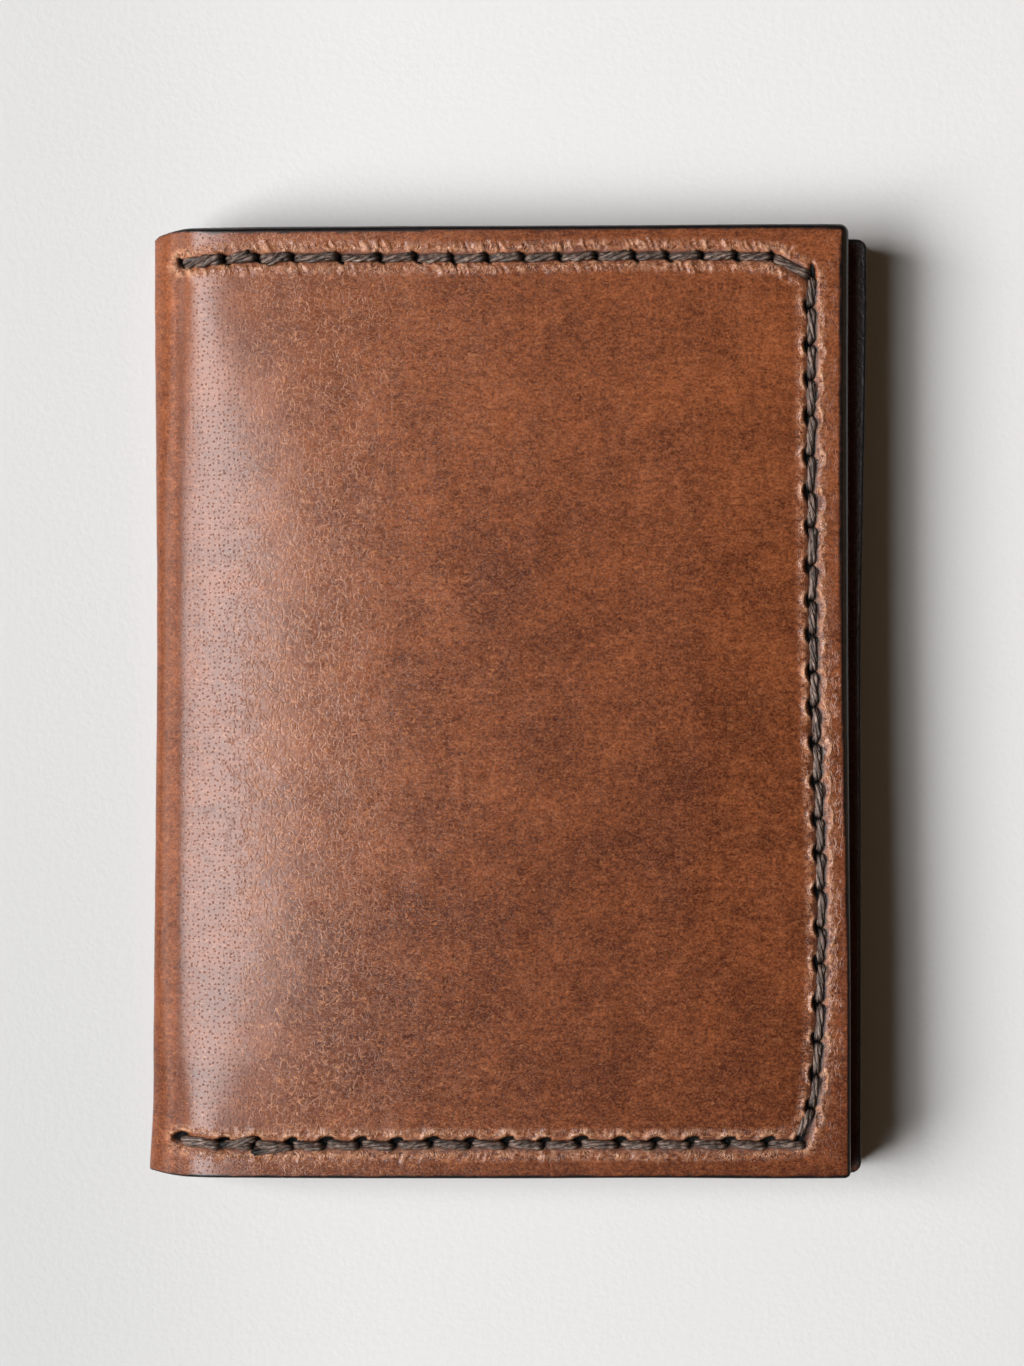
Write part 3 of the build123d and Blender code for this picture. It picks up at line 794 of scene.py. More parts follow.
class Graph:
    def __init__(self, name, dims="2D"):
        self.dims = dims
        self.mat = bpy.data.materials.new(name)
        self.mat.use_nodes = True
        self.t = self.mat.node_tree
        self.t.nodes.clear()
        self.out = self.t.nodes.new("ShaderNodeOutputMaterial")
        self.bsdf = self.t.nodes.new("ShaderNodeBsdfPrincipled")
        self.t.links.new(self.bsdf.outputs[0], self.out.inputs[0])

    def node(self, kind, **props):
        nd = self.t.nodes.new(kind)
        for k, v in props.items():
            setattr(nd, k, v)
        return nd

    def link(self, value, socket):
        if isinstance(value, bpy.types.NodeSocket):
            self.t.links.new(value, socket)
        elif value is not None:
            socket.default_value = value

    def math(self, op, a, b=None, c=None, clamp=False):
        nd = self.node("ShaderNodeMath", operation=op, use_clamp=clamp)
        self.link(a, nd.inputs[0])
        if b is not None:
            self.link(b, nd.inputs[1])
        if c is not None:
            self.link(c, nd.inputs[2])
        return nd.outputs[0]

    def add(self, a, b):
        return self.math("ADD", a, b)

    def mul(self, a, b):
        return self.math("MULTIPLY", a, b)

    def attr(self, name, what="Fac"):
        nd = self.node("ShaderNodeAttribute", attribute_name=name)
        return nd.outputs[what]

    def noise(self, vec, scale, detail=2.0, rough=0.5, distort=0.0, what="Fac", offset=None):
        nd = self.node("ShaderNodeTexNoise", noise_dimensions=self.dims)
        if offset is not None:
            vec = self.shift(vec, offset)
        self.link(vec, nd.inputs["Vector"])
        nd.inputs["Scale"].default_value = scale
        nd.inputs["Detail"].default_value = detail
        nd.inputs["Roughness"].default_value = rough
        nd.inputs["Distortion"].default_value = distort
        return nd.outputs[what]

    def noise3(self, vec, scale, detail=2.0, rough=0.5):
        nd = self.node("ShaderNodeTexNoise", noise_dimensions="3D")
        self.link(vec, nd.inputs["Vector"])
        nd.inputs["Scale"].default_value = scale
        nd.inputs["Detail"].default_value = detail
        nd.inputs["Roughness"].default_value = rough
        return nd.outputs["Fac"]

    def shift(self, vec, by):
        nd = self.node("ShaderNodeVectorMath", operation="ADD")
        self.link(vec, nd.inputs[0])
        nd.inputs[1].default_value = by
        return nd.outputs[0]

    def scale(self, vec, by):
        nd = self.node("ShaderNodeVectorMath", operation="MULTIPLY")
        self.link(vec, nd.inputs[0])
        nd.inputs[1].default_value = by
        return nd.outputs[0]

    def warp(self, vec, scale, amount, detail=1.0):
        """vec pushed about by noise."""
        nz = self.noise(vec, scale, detail, what="Color", offset=(17.3, 5.1, 2.2))
        c = self.node("ShaderNodeVectorMath", operation="SUBTRACT")
        self.link(nz, c.inputs[0])
        c.inputs[1].default_value = (0.5, 0.5, 0.5)
        m = self.node("ShaderNodeVectorMath", operation="SCALE")
        self.link(c.outputs[0], m.inputs[0])
        m.inputs["Scale"].default_value = amount
        a = self.node("ShaderNodeVectorMath", operation="ADD")
        self.link(vec, a.inputs[0])
        self.link(m.outputs[0], a.inputs[1])
        return a.outputs[0]

    def voronoi(self, vec, scale, feature="F1", rand=1.0, dims="2D", what="Distance"):
        nd = self.node("ShaderNodeTexVoronoi", feature=feature, voronoi_dimensions=dims)
        self.link(vec, nd.inputs["Vector"])
        nd.inputs["Scale"].default_value = scale
        nd.inputs["Randomness"].default_value = rand
        return nd.outputs[what]

    def ramp(self, x, a, b, lo=0.0, hi=1.0, kind="SMOOTHSTEP"):
        nd = self.node("ShaderNodeMapRange", interpolation_type=kind, clamp=True)
        self.link(x, nd.inputs[0])
        nd.inputs[1].default_value = a
        nd.inputs[2].default_value = b
        nd.inputs[3].default_value = lo
        nd.inputs[4].default_value = hi
        return nd.outputs[0]

    def mix(self, fac, a, b, blend="MIX"):
        nd = self.node("ShaderNodeMix", data_type="RGBA", blend_type=blend, clamp_factor=True)
        self.link(fac, nd.inputs[0])
        self.link(a, nd.inputs[6])
        self.link(b, nd.inputs[7])
        return nd.outputs[2]

    def mixf(self, fac, a, b):
        nd = self.node("ShaderNodeMix", data_type="FLOAT", clamp_factor=True)
        self.link(fac, nd.inputs[0])
        self.link(a, nd.inputs[2])
        self.link(b, nd.inputs[3])
        return nd.outputs[0]

    def blob(self, vec, centre, radius, stretch=(1, 1, 1)):
        """1 at centre, falling softly to 0 at radius, in sheet millimetres."""
        v = self.shift(vec, (-centre[0], -centre[1], 0))
        v = self.scale(v, (1 / (radius * stretch[0]), 1 / (radius * stretch[1]), 0))
        ln = self.node("ShaderNodeVectorMath", operation="LENGTH")
        self.link(v, ln.inputs[0])
        return self.ramp(ln.outputs["Value"], 0.0, 1.0, 1.0, 0.0)

    def bump(self, height, dist_mm, strength=1.0, normal=None):
        nd = self.node("ShaderNodeBump")
        nd.inputs["Strength"].default_value = strength
        nd.inputs["Distance"].default_value = dist_mm * MM
        self.link(height, nd.inputs["Height"])
        if normal is not None:
            self.link(normal, nd.inputs["Normal"])
        return nd.outputs[0]

    def finish(self, colour, roughness, normal, specular=0.5):
        b = self.bsdf
        self.link(colour, b.inputs["Base Color"])
        self.link(roughness, b.inputs["Roughness"])
        if normal is not None:
            self.link(normal, b.inputs["Normal"])
        b.inputs["Specular IOR Level"].default_value = specular
        return self.mat


# ---------------------------------------------------------------------------
# Materials
# ---------------------------------------------------------------------------
def ridge(g, n, width):
    """Thin curly lines where a noise crosses its middle value."""
    return g.ramp(g.math("ABSOLUTE", g.math("SUBTRACT", n, 0.5)), width, 0.0)


def cover_leather():
    g = Graph("cover_leather")
    P = g.attr("sheet", "Vector")
    edge, inside = g.attr("edge"), g.attr("inside")
    hole, hole_r, seam_d = g.attr("hole"), g.attr("hole_r"), g.attr("seam_d")
    near_edge, fold_wear_and_shade, crest = g.attr("near_edge"), g.attr("fold_wear_and_shade"), g.attr("crest")
    sx = g.node("ShaderNodeSeparateXYZ")
    g.link(P, sx.inputs[0])
    # 0 by the fold, where the grain is tight and calm, 1 on the flat
    from_fold = g.math("ABSOLUTE", sx.outputs[0])
    calm = g.ramp(from_fold, 6.0, 19.0)
    loose = g.math("MAXIMUM", g.ramp(from_fold, 12.0, 34.0), g.ramp(from_fold, 4.6, 3.8))

    # broad clouding of the dye, streaked along the strap, and the mottle in it
    S = g.scale(P, (0.72, 1.18, 1.0))
    D = g.warp(P, 0.13, 6.5, 2)
    S2 = g.scale(g.warp(P, 0.15, 3.0, 1), (0.80, 0.92, 1.0))
    W = g.warp(S, 0.9, 0.7, 1)
    cloud = g.noise(S, 0.050, 3, 0.55)
    patch = g.noise(S2, 0.17, 3, 0.62, offset=(31, 7, 3))
    coarse = g.noise(S, 0.50, 1, 0.6, 0.2, offset=(3, 9, 4))
    medium = g.noise(W, 1.35, 1, 0.6, offset=(13, 2, 8))
    fine = g.noise(g.scale(P, (0.86, 1.08, 1.0)), 3.4, 1, 0.75, offset=(1, 4, 6))
    curl_a = g.noise(W, 1.9, 1, 0.5, 0.8, offset=(13, 2, 8))
    gate = g.noise(P, 1.4, 1, 0.5, offset=(1, 4, 6))
    curl_b = g.noise(S, 2.7, 1, 0.5, 1.2, offset=(21, 12, 8))
    hair = g.math("MAXIMUM", g.mul(ridge(g, curl_a, 0.050), g.ramp(gate, 0.42, 0.60)),
                  g.mul(ridge(g, curl_b, 0.050), g.ramp(gate, 0.58, 0.40)))

    fine = g.math("POWER", fine, 0.8)
    lum = g.mul(g.math("SUBTRACT", fine, 0.57), 1.26)
    lum = g.add(lum, g.mul(g.math("SUBTRACT", medium, 0.5), 0.74))
    lum = g.add(lum, g.mul(g.math("SUBTRACT", coarse, 0.5), 0.32))
    lum = g.mul(lum, g.add(g.mul(loose, 0.56), 0.40))
    lum = g.add(lum, g.mul(g.math("SUBTRACT", patch, 0.5), 0.62))
    lum = g.add(lum, g.mul(g.math("SUBTRACT", cloud, 0.5), 0.30))
    # patches where the dye or the wear lies deeper or lighter; the darker ones beside the fold, at (18.5, 14) and (21,
    # -31), are painted shade as well, toning down the glow of the sheen there
    for centre, radius, stretch, amount in (
            ((65.0, 40.5), 7.5, (0.9, 1.15, 1), -0.15), ((65.5, -4.5), 6.5, (0.85, 1.2, 1), -0.12),
            ((51.5, 22.5), 7.5, (0.9, 1.1, 1), -0.12), ((40.0, 0.0), 7.0, (0.8, 1.2, 1), -0.10),
            ((39.5, 14.0), 10.0, (0.62, 1.45, 1), -0.15), ((58.5, -12.0), 11.0, (0.85, 1.1, 1), -0.20),
            ((61.0, 12.5), 6.5, (0.8, 1.3, 1), -0.09), ((47.5, -38.5), 8.0, (1.3, 0.9, 1), -0.06),
            ((66.5, -41.5), 8.0, (1.0, 1.0, 1), -0.10), ((27.0, -38.0), 13.0, (1.25, 0.9, 1), -0.16),
            ((21.0, -31.0), 14.0, (0.75, 1.1, 1), -0.20), ((65.0, 39.0), 13.0, (1.2, 0.75, 1), 0.20),
            ((70.0, 7.0), 6.0, (0.8, 1.2, 1), 0.10), ((18.5, 14.0), 11.0, (0.7, 1.4, 1), -0.12),
            ((70.0, -24.0), 8.0, (0.8, 1.4, 1), 0.06)):
        lum = g.add(lum, g.mul(g.blob(D, centre, radius, stretch), amount))
    # darker towards the opening edge and the foot, lighter by the fold and at the top: partly painted shade for the
    # light falling off across the leaf, partly the dye's own tone
    down = g.ramp(sx.outputs[1], 45.0, -50.0, 0.050, -0.135, "LINEAR")
    across = g.ramp(g.math("ABSOLUTE", sx.outputs[0]), 8.0, 80.0, 0.03, -0.085, "LINEAR")
    # both gradients added in: painted shade and tone together
    lum = g.add(g.add(lum, 0.555), g.add(down, across))
    lum = g.math("POWER", g.math("MAXIMUM", lum, 0.0), 1.35)
    base = g.mix(g.ramp(lum, 0.0, 1.0, kind="LINEAR"), lin(76, 33, 16), lin(162, 90, 51))
    leftish = g.ramp(from_fold, 26.0, 52.0, 1.0, 0.48)
    hair = g.mul(hair, g.mul(leftish, g.ramp(calm, 0.0, 1.0, 0.6, 1.0)))
    base = g.mix(g.mul(hair, g.ramp(loose, 0.0, 1.0, 0.62, 0.54)), base, lin(204, 134, 88))
    # painted shade darkens the spine's face
    base = g.mix(g.mul(fold_wear_and_shade, 0.34), base, lin(84, 44, 26))
    # painted shade in the crease where the fold meets the leaf
    crease = g.mul(g.ramp(from_fold, 3.1, 4.1), g.ramp(from_fold, 5.0, 4.3))
    base = g.mix(g.mul(crease, 0.46), base, lin(84, 42, 24))

    # pores
    pore_d = g.voronoi(g.warp(P, 0.8, 0.35, 0), 1.68, rand=0.64)
    pore_s = g.noise(P, 1.3, 0, 0.5, offset=(9, 9, 1))
    pore = g.ramp(g.add(pore_d, g.mul(g.math("SUBTRACT", pore_s, 0.5), 0.14)), 0.205, 0.095)
    pore = g.mul(pore, g.ramp(fold_wear_and_shade, 0.6, 0.2))
    pore = g.mul(pore, g.ramp(calm, 0.2, 1.0, 1.0, 0.25))
    base = g.mix(g.mul(pore, 0.68), base, lin(92, 45, 27))

    # fine creases of the grain, strongest where the leather flexes by the
    # spine: short cracks between the pores, then pebbles drawn out upright
    flex = g.blob(P, (13.0, -3.0), 36.0, (0.56, 1.35, 1))
    crack_in = g.noise(P, 0.22, 2, 0.5, offset=(4, 8, 15))
    crack_v = g.voronoi(g.warp(P, 0.5, 1.5, 2), 0.50, feature="DISTANCE_TO_EDGE")
    crack = g.mul(g.ramp(crack_v, 0.040, 0.0), g.ramp(crack_in, 0.44, 0.60))
    U = g.scale(g.warp(P, 0.9, 1.0, 2), (1.20, 0.80, 1.0))
    pebble = g.voronoi(U, 1.15, feature="DISTANCE_TO_EDGE")
    pebble2 = g.voronoi(g.warp(U, 1.4, 0.6, 1), 2.1, feature="DISTANCE_TO_EDGE")
    vein = g.math("MAXIMUM", g.ramp(pebble, 0.060, 0.0), g.mul(g.ramp(pebble2, 0.085, 0.0), 0.55))
    # near the fold only scattered veins show, further out most of them do
    scatter = g.noise(P, 0.75, 1, 0.5, offset=(11, 2, 7))
    shown = g.mixf(g.ramp(g.math("ABSOLUTE", sx.outputs[0]), 7.5, 13.0), g.mul(g.ramp(scatter, 0.50, 0.66), 0.55), g.ramp(scatter, 0.30, 0.55))
    flex = g.mul(flex, shown)
    vein = g.mul(vein, g.add(g.mul(flex, 0.66), g.mul(g.ramp(crack_in, 0.40, 0.62), 0.10)))
    cracks = g.math("MAXIMUM", g.mul(crack, g.add(g.mul(flex, 0.85), 0.05)), vein)
    base = g.mix(g.mul(cracks, 0.46), base, lin(88, 43, 26))
    rim = g.mul(g.mul(g.ramp(pebble, 0.05, 0.11), g.ramp(pebble, 0.20, 0.13)), g.mul(flex, g.ramp(calm, 0.1, 0.7)))
    base = g.mix(g.mul(rim, 0.40), base, lin(206, 136, 90))
    # and further out a loose upright web of lighter threads of grain
    web_v = g.voronoi(g.scale(g.warp(P, 1.1, 1.1, 2), (1.35, 0.78, 1.0)), 1.12, feature="DISTANCE_TO_EDGE")
    web_in = g.noise(P, 0.62, 2, 0.6, offset=(19, 8, 5))
    web = g.mul(g.ramp(web_v, 0.085, 0.015), g.ramp(web_in, 0.40, 0.56))
    web = g.mul(web, g.mul(g.ramp(from_fold, 9.0, 14.0), g.ramp(from_fold, 34.0, 20.0)))
    base = g.mix(g.mul(web, 0.44), base, lin(208, 138, 92))

    # faint scuffs
    sc = g.noise(g.scale(g.warp(P, 0.12, 6.0, 1), (0.35, 2.4, 1)), 0.9, 1, 0.5, offset=(40, 3, 1))
    scuff = g.mul(g.ramp(sc, 0.72, 0.80), 0.12)
    base = g.mix(scuff, base, lin(172, 108, 72))

    # round each hole: local coordinates along and across the run
    lc = g.node("ShaderNodeSeparateXYZ")
    g.link(g.attr("local", "Vector"), lc.inputs[0])
    al, ac, tag = lc.outputs
    rad = g.math("SQRT", g.add(g.mul(al, al), g.mul(ac, ac)))
    turn = g.math("ARCTAN2", ac, al)
    cv = g.node("ShaderNodeCombineXYZ")
    g.link(g.add(turn, g.mul(rad, 0.12)), cv.inputs[0])
    g.link(g.mul(rad, 0.30), cv.inputs[1])
    g.link(tag, cv.inputs[2])
    rays_n = g.noise3(cv.outputs[0], 2.6, 1, 0.6)
    here = g.ramp(hole_r, 2.6, 2.3)
    ray_gate = g.mul(g.mul(g.ramp(hole_r, 0.45, 0.75), g.ramp(hole_r, 2.0, 1.05)), here)
    ray_gate = g.mul(ray_gate, g.ramp(g.math("ABSOLUTE", ac), 0.42, 0.66))
    # the cut beside the side run
    jit = g.noise(P, 1.6, 1, 0.6, offset=(2, 3, 4))
    is_side = g.mul(g.mul(g.ramp(tag, 95.0, 99.0), g.ramp(tag, 199.0, 195.0)), here)
    ripple = g.math("SINE", g.add(g.mul(rad, 11.0), g.mul(jit, 13.0)))
    ripple = g.mul(g.mul(g.ramp(ripple, 0.10, 0.90), ray_gate), is_side)
    ripple = g.mul(ripple, g.ramp(g.noise(P, 0.8, 1, 0.5, offset=(7, 2, 2)), 0.42, 0.58))
    not_side = g.math("SUBTRACT", 1.0, is_side, clamp=True)
    some = g.ramp(g.noise(P, 1.1, 1, 0.5, offset=(5, 5, 2)), 0.38, 0.56, 0.30, 1.0)
    rays = g.mul(g.mul(g.mul(ridge(g, rays_n, 0.11), ray_gate), not_side), some)
    dark_rays = g.mul(g.ramp(g.math("ABSOLUTE", g.math("SUBTRACT", rays_n, 0.62)), 0.05, 0.0), ray_gate)
    dark_rays = g.mul(dark_rays, not_side)
    cut_rim = g.mul(g.attr("cut_rim"), g.ramp(jit, 0.34, 0.56, 0.35, 1.0))
    cut_in = g.attr("cut_in")
    pleat = g.mul(g.attr("pleat"), g.ramp(jit, 0.30, 0.50, 0.5, 1.0))

    # the strip outside the side run is rucked along its middle and foot
    rk = g.noise(g.scale(g.warp(P, 0.75, 1.0, 1), (2.4, 0.62, 1.0)), 0.95, 1, 0.55, offset=(15, 6, 3))
    ruck = g.mul(ridge(g, rk, 0.075), g.mul(g.ramp(seam_d, 0.85, 1.25), g.ramp(sx.outputs[0], 75.0, 75.9)))
    ruck = g.mul(ruck, g.mul(g.ramp(sx.outputs[1], 9.0, -4.0, 0.22, 1.0), g.ramp(sx.outputs[1], -44.0, -34.0, 0.25, 1.0)))
    ruck = g.mul(ruck, g.ramp(g.noise(P, 0.40, 1, 0.5, offset=(33, 2, 9)), 0.34, 0.56))
    ruck = g.mul(ruck, g.ramp(near_edge, 0.72, 0.40))

    # the lips either side of the stitching: painted highlight on their raised crinkles and painted shade between them
    lip = g.mul(g.ramp(seam_d, 0.70, 1.00), g.ramp(seam_d, 2.1, 1.15))
    lip_n = g.noise(W, 1.5, 2, 0.65, 0.6, offset=(6, 1, 12))
    base = g.mix(g.mul(g.mul(lip, g.ramp(lip_n, 0.44, 0.62)), 0.52), base, lin(194, 132, 94))
    base = g.mix(g.mul(g.mul(lip, g.ramp(lip_n, 0.46, 0.32)), 0.30), base, lin(84, 42, 26))
    # painted shade: the furrow under the thread, the cuts and the hollows between the wrinkles are darkened
    furrow = g.ramp(seam_d, 0.72, 0.30)
    base = g.mix(g.mul(furrow, 0.72), base, lin(44, 23, 17))
    base = g.mix(g.mul(cut_in, 0.42), base, lin(84, 42, 28))
    base = g.mix(g.mul(dark_rays, 0.45), base, lin(84, 42, 28))
    # painted highlight on the wrinkles and ripples round the holes, the crests of the lips, the rims of the cuts, the
    # pleats and the rucks
    base = g.mix(g.mul(g.math("MAXIMUM", rays, ripple), 0.62), base, lin(208, 154, 118))
    base = g.mix(g.mul(g.mul(crest, g.ramp(lip_n, 0.38, 0.56)), 0.60), base, lin(206, 156, 124))
    base = g.mix(g.mul(cut_rim, 0.52), base, lin(206, 152, 114))
    base = g.mix(g.mul(pleat, 0.60), base, lin(212, 156, 124))
    base = g.mix(g.mul(ruck, 0.46), base, lin(210, 158, 134))
    # painted shade in the stitch holes
    base = g.mix(g.ramp(hole, 0.20, 0.62), base, lin(12, 8, 7))

    # flesh side, and the burnished edge
    flesh_n = g.noise(P, 3.0, 3, 0.65)
    flesh = g.mix(flesh_n, lin(96, 62, 44), lin(136, 94, 68))
    base = g.mix(inside, base, flesh)
    edge_c = g.mix(g.ramp(medium, 0.3, 0.7), lin(15, 11, 11), lin(31, 23, 22))
    base = g.mix(g.mul(g.ramp(near_edge, 0.30, 0.80), 0.26), base, lin(66, 31, 21))
    base = g.mix(edge, base, edge_c)

    rough = g.add(0.250, g.mul(g.math("SUBTRACT", cloud, 0.5), 0.06))
    rough = g.add(rough, g.mul(g.math("SUBTRACT", medium, 0.5), 0.08))
    rough = g.add(rough, g.mul(pore, 0.30))
    rough = g.math("MAXIMUM", rough, g.mul(g.math("MAXIMUM", hole, furrow), 0.75))
    rough = g.math("MAXIMUM", rough, g.ramp(seam_d, 1.10, 0.60, 0.25, 0.55))
    rough = g.mixf(inside, rough, 0.85)
    rough = g.mixf(edge, rough, 0.30)

    # relief, in millimetres, from coarse to fine
    keep = g.math("SUBTRACT", 1.0, g.math("MAXIMUM", edge, inside), clamp=True)
    grain = g.voronoi(g.warp(P, 1.6, 0.5, 1), 1.9, feature="F1", rand=1.0)
    soft = g.add(0.30, g.mul(calm, 0.70))
    h = g.mul(g.mul(medium, soft), 0.013)
    h = g.add(h, g.mul(grain, 0.005))
    h = g.add(h, g.mul(hair, 0.0025))
    h = g.add(h, g.mul(g.mul(fine, soft), 0.0045))
    h = g.add(h, g.mul(pore, -0.014))
    h = g.add(h, g.mul(cracks, -0.014))
    h = g.add(h, g.mul(g.mul(g.ramp(pebble, 0.0, 0.22), flex), 0.012))
    h = g.add(h, g.mul(web, 0.009))
    h = g.add(h, g.mul(g.math("MAXIMUM", rays, ripple), 0.028))
    h = g.add(h, g.mul(dark_rays, -0.022))
    h = g.add(h, g.mul(cut_rim, 0.012))
    h = g.add(h, g.mul(ruck, 0.030))
    crinkle = g.noise(g.warp(P, 1.2, 1.4, 2), 1.5, 2, 0.6, 0.8, offset=(60, 7, 5))
    h = g.add(h, g.mul(g.mul(lip, g.add(lip_n, ridge(g, crinkle, 0.12))), 0.026))
    n = g.bump(g.mul(h, keep), 1.0, 1.0)
    return g.finish(base, rough, n, 0.46)


def panel_leather(name, dark, light, seed):
    g = Graph(name)
    P = g.attr("sheet", "Vector")
    edge, inside = g.attr("edge"), g.attr("inside")
    burnish, crease, seam_d = g.attr("burnish"), g.attr("crease"), g.attr("seam_d")
    off = (seed, seed * 2.0, 3.0)
    cloud = g.noise(P, 0.06, 3, 0.55, offset=off)
    fib = g.noise(g.warp(P, 1.2, 0.7, 2), 2.6, 3, 0.6, 0.8, offset=off)
    base = g.mix(g.ramp(cloud, 0.26, 0.76, 0.22, 0.78), dark, light)
    base = g.mix(g.mul(g.ramp(fib, 0.52, 0.72), 0.35), base, lin(150, 92, 60))
    base = g.mix(g.mul(g.ramp(fib, 0.48, 0.30), 0.40), base, lin(48, 27, 20))
    pore = g.ramp(g.voronoi(g.warp(P, 0.8, 0.3, 1), 1.7, rand=0.9), 0.17, 0.08)
    base = g.mix(g.mul(pore, 0.4), base, lin(44, 24, 18))
    flesh = g.mix(g.noise(P, 2.6, 4, 0.65), lin(98, 66, 48), lin(132, 94, 70))
    base = g.mix(inside, base, flesh)
    base = g.mix(g.mul(burnish, 0.78), base, lin(34, 22, 19))
    base = g.mix(g.mul(crease, 0.6), base, lin(38, 22, 18))
    # painted shade in the sink along the seam
    base = g.mix(g.mul(g.ramp(seam_d, 0.9, 0.3), 0.35), base, lin(44, 25, 20))
    base = g.mix(edge, base, g.mix(fib, lin(24, 18, 18), lin(40, 30, 29)))
    rough = g.add(0.44, g.mul(g.math("SUBTRACT", fib, 0.5), 0.2))
    rough = g.mixf(inside, rough, 0.85)
    rough = g.mixf(g.math("MAXIMUM", edge, g.mul(burnish, 0.8)), rough, 0.34)
    keep = g.math("SUBTRACT", 1.0, edge, clamp=True)
    n0 = g.bump(g.mul(g.voronoi(g.warp(P, 1.4, 0.5, 2), 2.3, feature="SMOOTH_F1"), keep), 0.06, 0.6)
    n1 = g.bump(g.mul(fib, keep), 0.05, 0.7, n0)
    n2 = g.bump(g.mul(pore, keep), -0.04, 0.8, n1)
    return g.finish(base, rough, n2, 0.42)


def waxed_thread(name="waxed_thread", cad=False):
    g = Graph(name, "3D")
    if cad:
        tc = g.node("ShaderNodeTexCoord")
        P = g.scale(tc.outputs["Object"], (1000, 1000, 1000))
        F = P
        thread_shade = 0.0
    else:
        P = g.attr("fib", "Vector")
        F = g.scale(P, (0.9, 0.85, 1.0))
        thread_shade = g.attr("thread_shade")
    strand = g.noise(F, 1.15, 2, 0.6, 0.4)
    fibre_glint = g.noise(g.scale(F, (0.8, 3.4, 1.0)), 1.5, 2, 0.6, offset=(8, 1, 3))
    grime = g.noise(F, 0.55, 2, 0.5, offset=(4, 4, 4))
    base = g.mix(g.ramp(strand, 0.36, 0.62), lin(46, 34, 29), lin(124, 100, 88))
    # painted highlight along the lighter fibres and painted shade along the darker ones, over the fibres' own streaks
    base = g.mix(g.mul(g.ramp(fibre_glint, 0.48, 0.64), 0.66), base, lin(188, 160, 145))
    base = g.mix(g.mul(g.ramp(fibre_glint, 0.50, 0.36), 0.66), base, lin(34, 24, 20))
    base = g.mix(g.mul(g.ramp(grime, 0.46, 0.64), 0.62), base, lin(50, 37, 31))
    if not cad:
        # painted shade where the thread dives into its holes
        base = g.mix(g.ramp(thread_shade, 0.04, 0.62), base, lin(12, 8, 7))
    h = g.add(g.mul(strand, 0.05), g.mul(fibre_glint, 0.05))
    n1 = g.bump(h, 1.0, 1.0)
    return g.finish(base, 0.46, n1, 0.45)


def paper():
    g = Graph("paper")
    tc = g.node("ShaderNodeTexCoord")
    P = g.scale(tc.outputs["Object"], (1000, 1000, 1000))
    a = g.noise(P, 0.5, 4, 0.6)
    b = g.noise(P, 0.05, 2, 0.5)
    c = g.mix(g.mul(a, 0.5), lin(232, 232, 231), lin(226, 226, 224))
    c = g.mix(g.mul(g.ramp(b, 0.4, 0.7), 0.4), c, lin(229, 228, 226))
    # painted shade: the paper is darkened towards its left and lower parts, where the light falls off
    sx = g.node("ShaderNodeSeparateXYZ")
    g.link(P, sx.inputs[0])
    painted_falloff = g.add(g.ramp(sx.outputs[0], -10.0, -58.0, 0.0, 0.60), g.ramp(sx.outputs[1], 60.0, -75.0, 0.0, 0.28))
    c = g.mix(painted_falloff, g.mix(0.55, c, lin(243, 243, 243)), lin(214, 215, 216))
    n = g.bump(g.noise(P, 1.2, 4, 0.65), 0.05, 0.5)
    return g.finish(c, 0.9, n, 0.15)


# ---------------------------------------------------------------------------
# Build
# ---------------------------------------------------------------------------
M_COVER = cover_leather()
M_LINING = panel_leather("lining_leather", lin(84, 50, 36), lin(112, 68, 47), 5.0)
M_POCKET = panel_leather("pocket_leather", lin(78, 45, 32), lin(108, 62, 42), 11.0)
M_THREAD = waxed_thread()
M_THREAD_CAD = waxed_thread("waxed_thread_inner", cad=True)


def paint(ob, mat):
    ob.data.materials.clear()
    ob.data.materials.append(mat)
    return ob


upper = paint(cover("cover_upper_half", FRONT), M_COVER)
lower = paint(cover("cover_lower_half", BACK), M_COVER)
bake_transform(upper)
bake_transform(lower)
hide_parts("front_cover")
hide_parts("back_cover", "spine_cover")

for side, leaf, body in (("front", FRONT, "front_leaf"), ("back", BACK, "back_leaf")):
    ob = paint(panel(side + "_lining_sheet", leaf, -37.15, LINING[0], LINING[1], False), M_LINING)
    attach(ob, body)
    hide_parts(side + "_lining")
    for word, mouth, (d0, d1) in zip(("first", "second", "third"), MOUTHS, POCKETS):
        ob = paint(panel("%s_%s_pocket_panel" % (side, word), leaf, mouth, d0, d1, True), M_POCKET)
        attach(ob, body)
        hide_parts("%s_%s_pocket" % (side, word))
    ob = paint(seam_thread(side + "_seam_stitches", leaf, 101 if leaf.up else 102), M_THREAD)
    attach(ob, body)
    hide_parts(side + "_seam_thread")
    for word in ("first", "second"):
        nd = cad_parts["%s_%s_base_thread" % (side, word)]
        nd.data.materials.clear()
        nd.data.materials.append(M_THREAD_CAD)

# ---------------------------------------------------------------------------
# Floor, light and camera
# ---------------------------------------------------------------------------
bm = bmesh.new()
bmesh.ops.create_grid(bm, x_segments=8, y_segments=8, size=0.9)
me = bpy.data.meshes.new("floor")
bm.to_mesh(me)
bm.free()
floor = bpy.data.objects.new("floor", me)
scene.collection.objects.link(floor)
floor.location = (0, 0, -0.0001)
paint(floor, paper())

world = bpy.data.worlds.new("studio")
scene.world = world
world.use_nodes = True
bg = world.node_tree.nodes["Background"]
bg.inputs[0].default_value = (0.84, 0.84, 0.84, 1)
bg.inputs[1].default_value = 1.0
world.cycles_visibility.diffuse = False
world.cycles_visibility.glossy = False
world.cycles_visibility.transmission = False
world.cycles_visibility.scatter = False


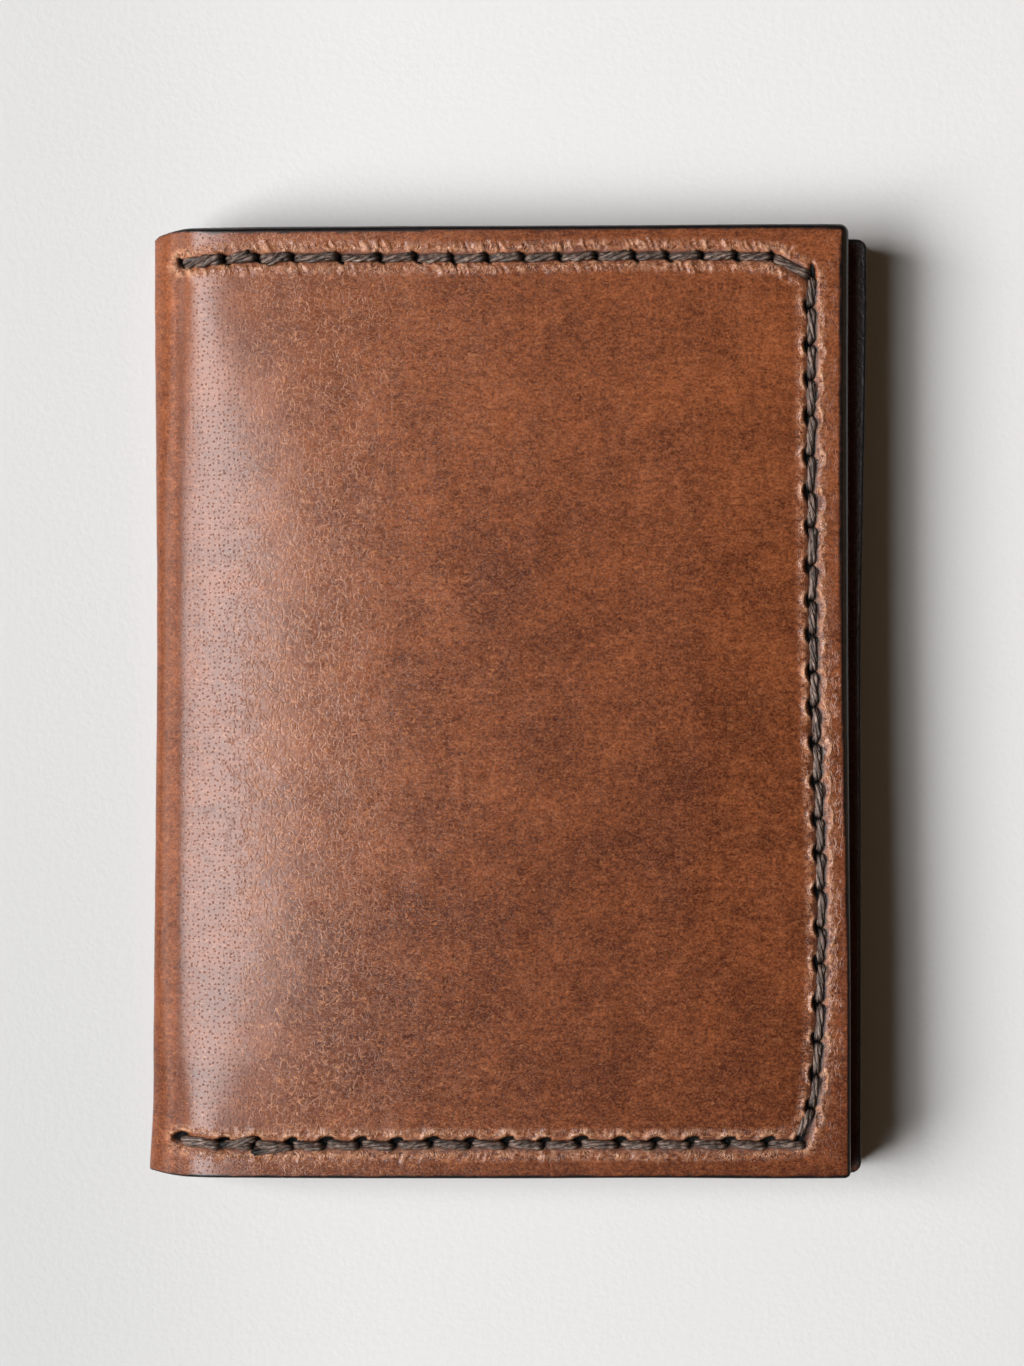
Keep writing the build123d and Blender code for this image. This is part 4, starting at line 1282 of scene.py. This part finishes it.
def area(name, direction, distance, size_x, size_y, radiance, colour=(1, 1, 1), diffuse=True,
         glossy=True, aim=(0, 0, 0.004)):
    """A soft panel of light. direction is (azimuth from +X, elevation)."""
    az, el = math.radians(direction[0]), math.radians(direction[1])
    pos = Vector((math.cos(az) * math.cos(el), math.sin(az) * math.cos(el), math.sin(el))) * distance
    d = bpy.data.lights.new(name, "AREA")
    d.shape = "RECTANGLE"
    d.size, d.size_y = size_x, size_y
    d.energy = radiance * math.pi * size_x * size_y
    d.color = colour
    ob = bpy.data.objects.new(name, d)
    scene.collection.objects.link(ob)
    ob.location = pos + Vector(aim)
    look = (Vector(aim) - ob.location).normalized()
    ob.rotation_mode = "QUATERNION"
    ob.rotation_quaternion = look.to_track_quat("-Z", "Y")
    ob.visible_camera = False
    ob.visible_diffuse = diffuse
    ob.visible_glossy = glossy
    ob.visible_transmission = False
    return ob


# The tall soft window light on the left, brightest across its middle, which
# makes the shadow
area("key_middle", (188, 34.0), 3.2, 2.6, 1.20, 10.6, (1.0, 0.998, 0.994), glossy=False)
area("key_whole", (188, 35.5), 3.2, 2.6, 2.36, 5.2, (1.0, 0.998, 0.994), glossy=False)
# its overhead parts, which only the surface's gloss picks up
area("gloss_high", (180, 61.5), 1.5, 1.90, 0.54, 10.8, (0.87, 0.98, 1.03), diffuse=False)
area("gloss_top", (180, 73.0), 1.5, 1.90, 0.22, 1.7, (0.98, 0.98, 0.97), diffuse=False)
area("gloss_low", (180, 20), 1.5, 1.90, 0.34, 2.7, (1.0, 0.99, 0.97), diffuse=False)
# weak warm fills from the right and from above
area("fill_right", (-8, 30), 2.2, 1.6, 1.2, 0.54, (1.0, 0.60, 0.30))
area("fill_top", (20, 80), 1.8, 1.6, 1.6, 0.02, (1.0, 0.80, 0.62))

cam_data = bpy.data.cameras.new("camera")
cam = bpy.data.objects.new("camera", cam_data)
scene.collection.objects.link(cam)
cam.location = (0.0003, 0.0021, 0.3086)
cam.rotation_euler = (0, 0, 0)
cam_data.sensor_width = 36
cam_data.sensor_fit = "AUTO"
cam_data.lens = 36 * 300.0 / 151.35
cam_data.clip_start = 0.01
cam_data.clip_end = 50
scene.camera = cam
scene.view_settings.view_transform = "Standard"
scene.view_settings.look = "None"

bpy.context.view_layer.update()
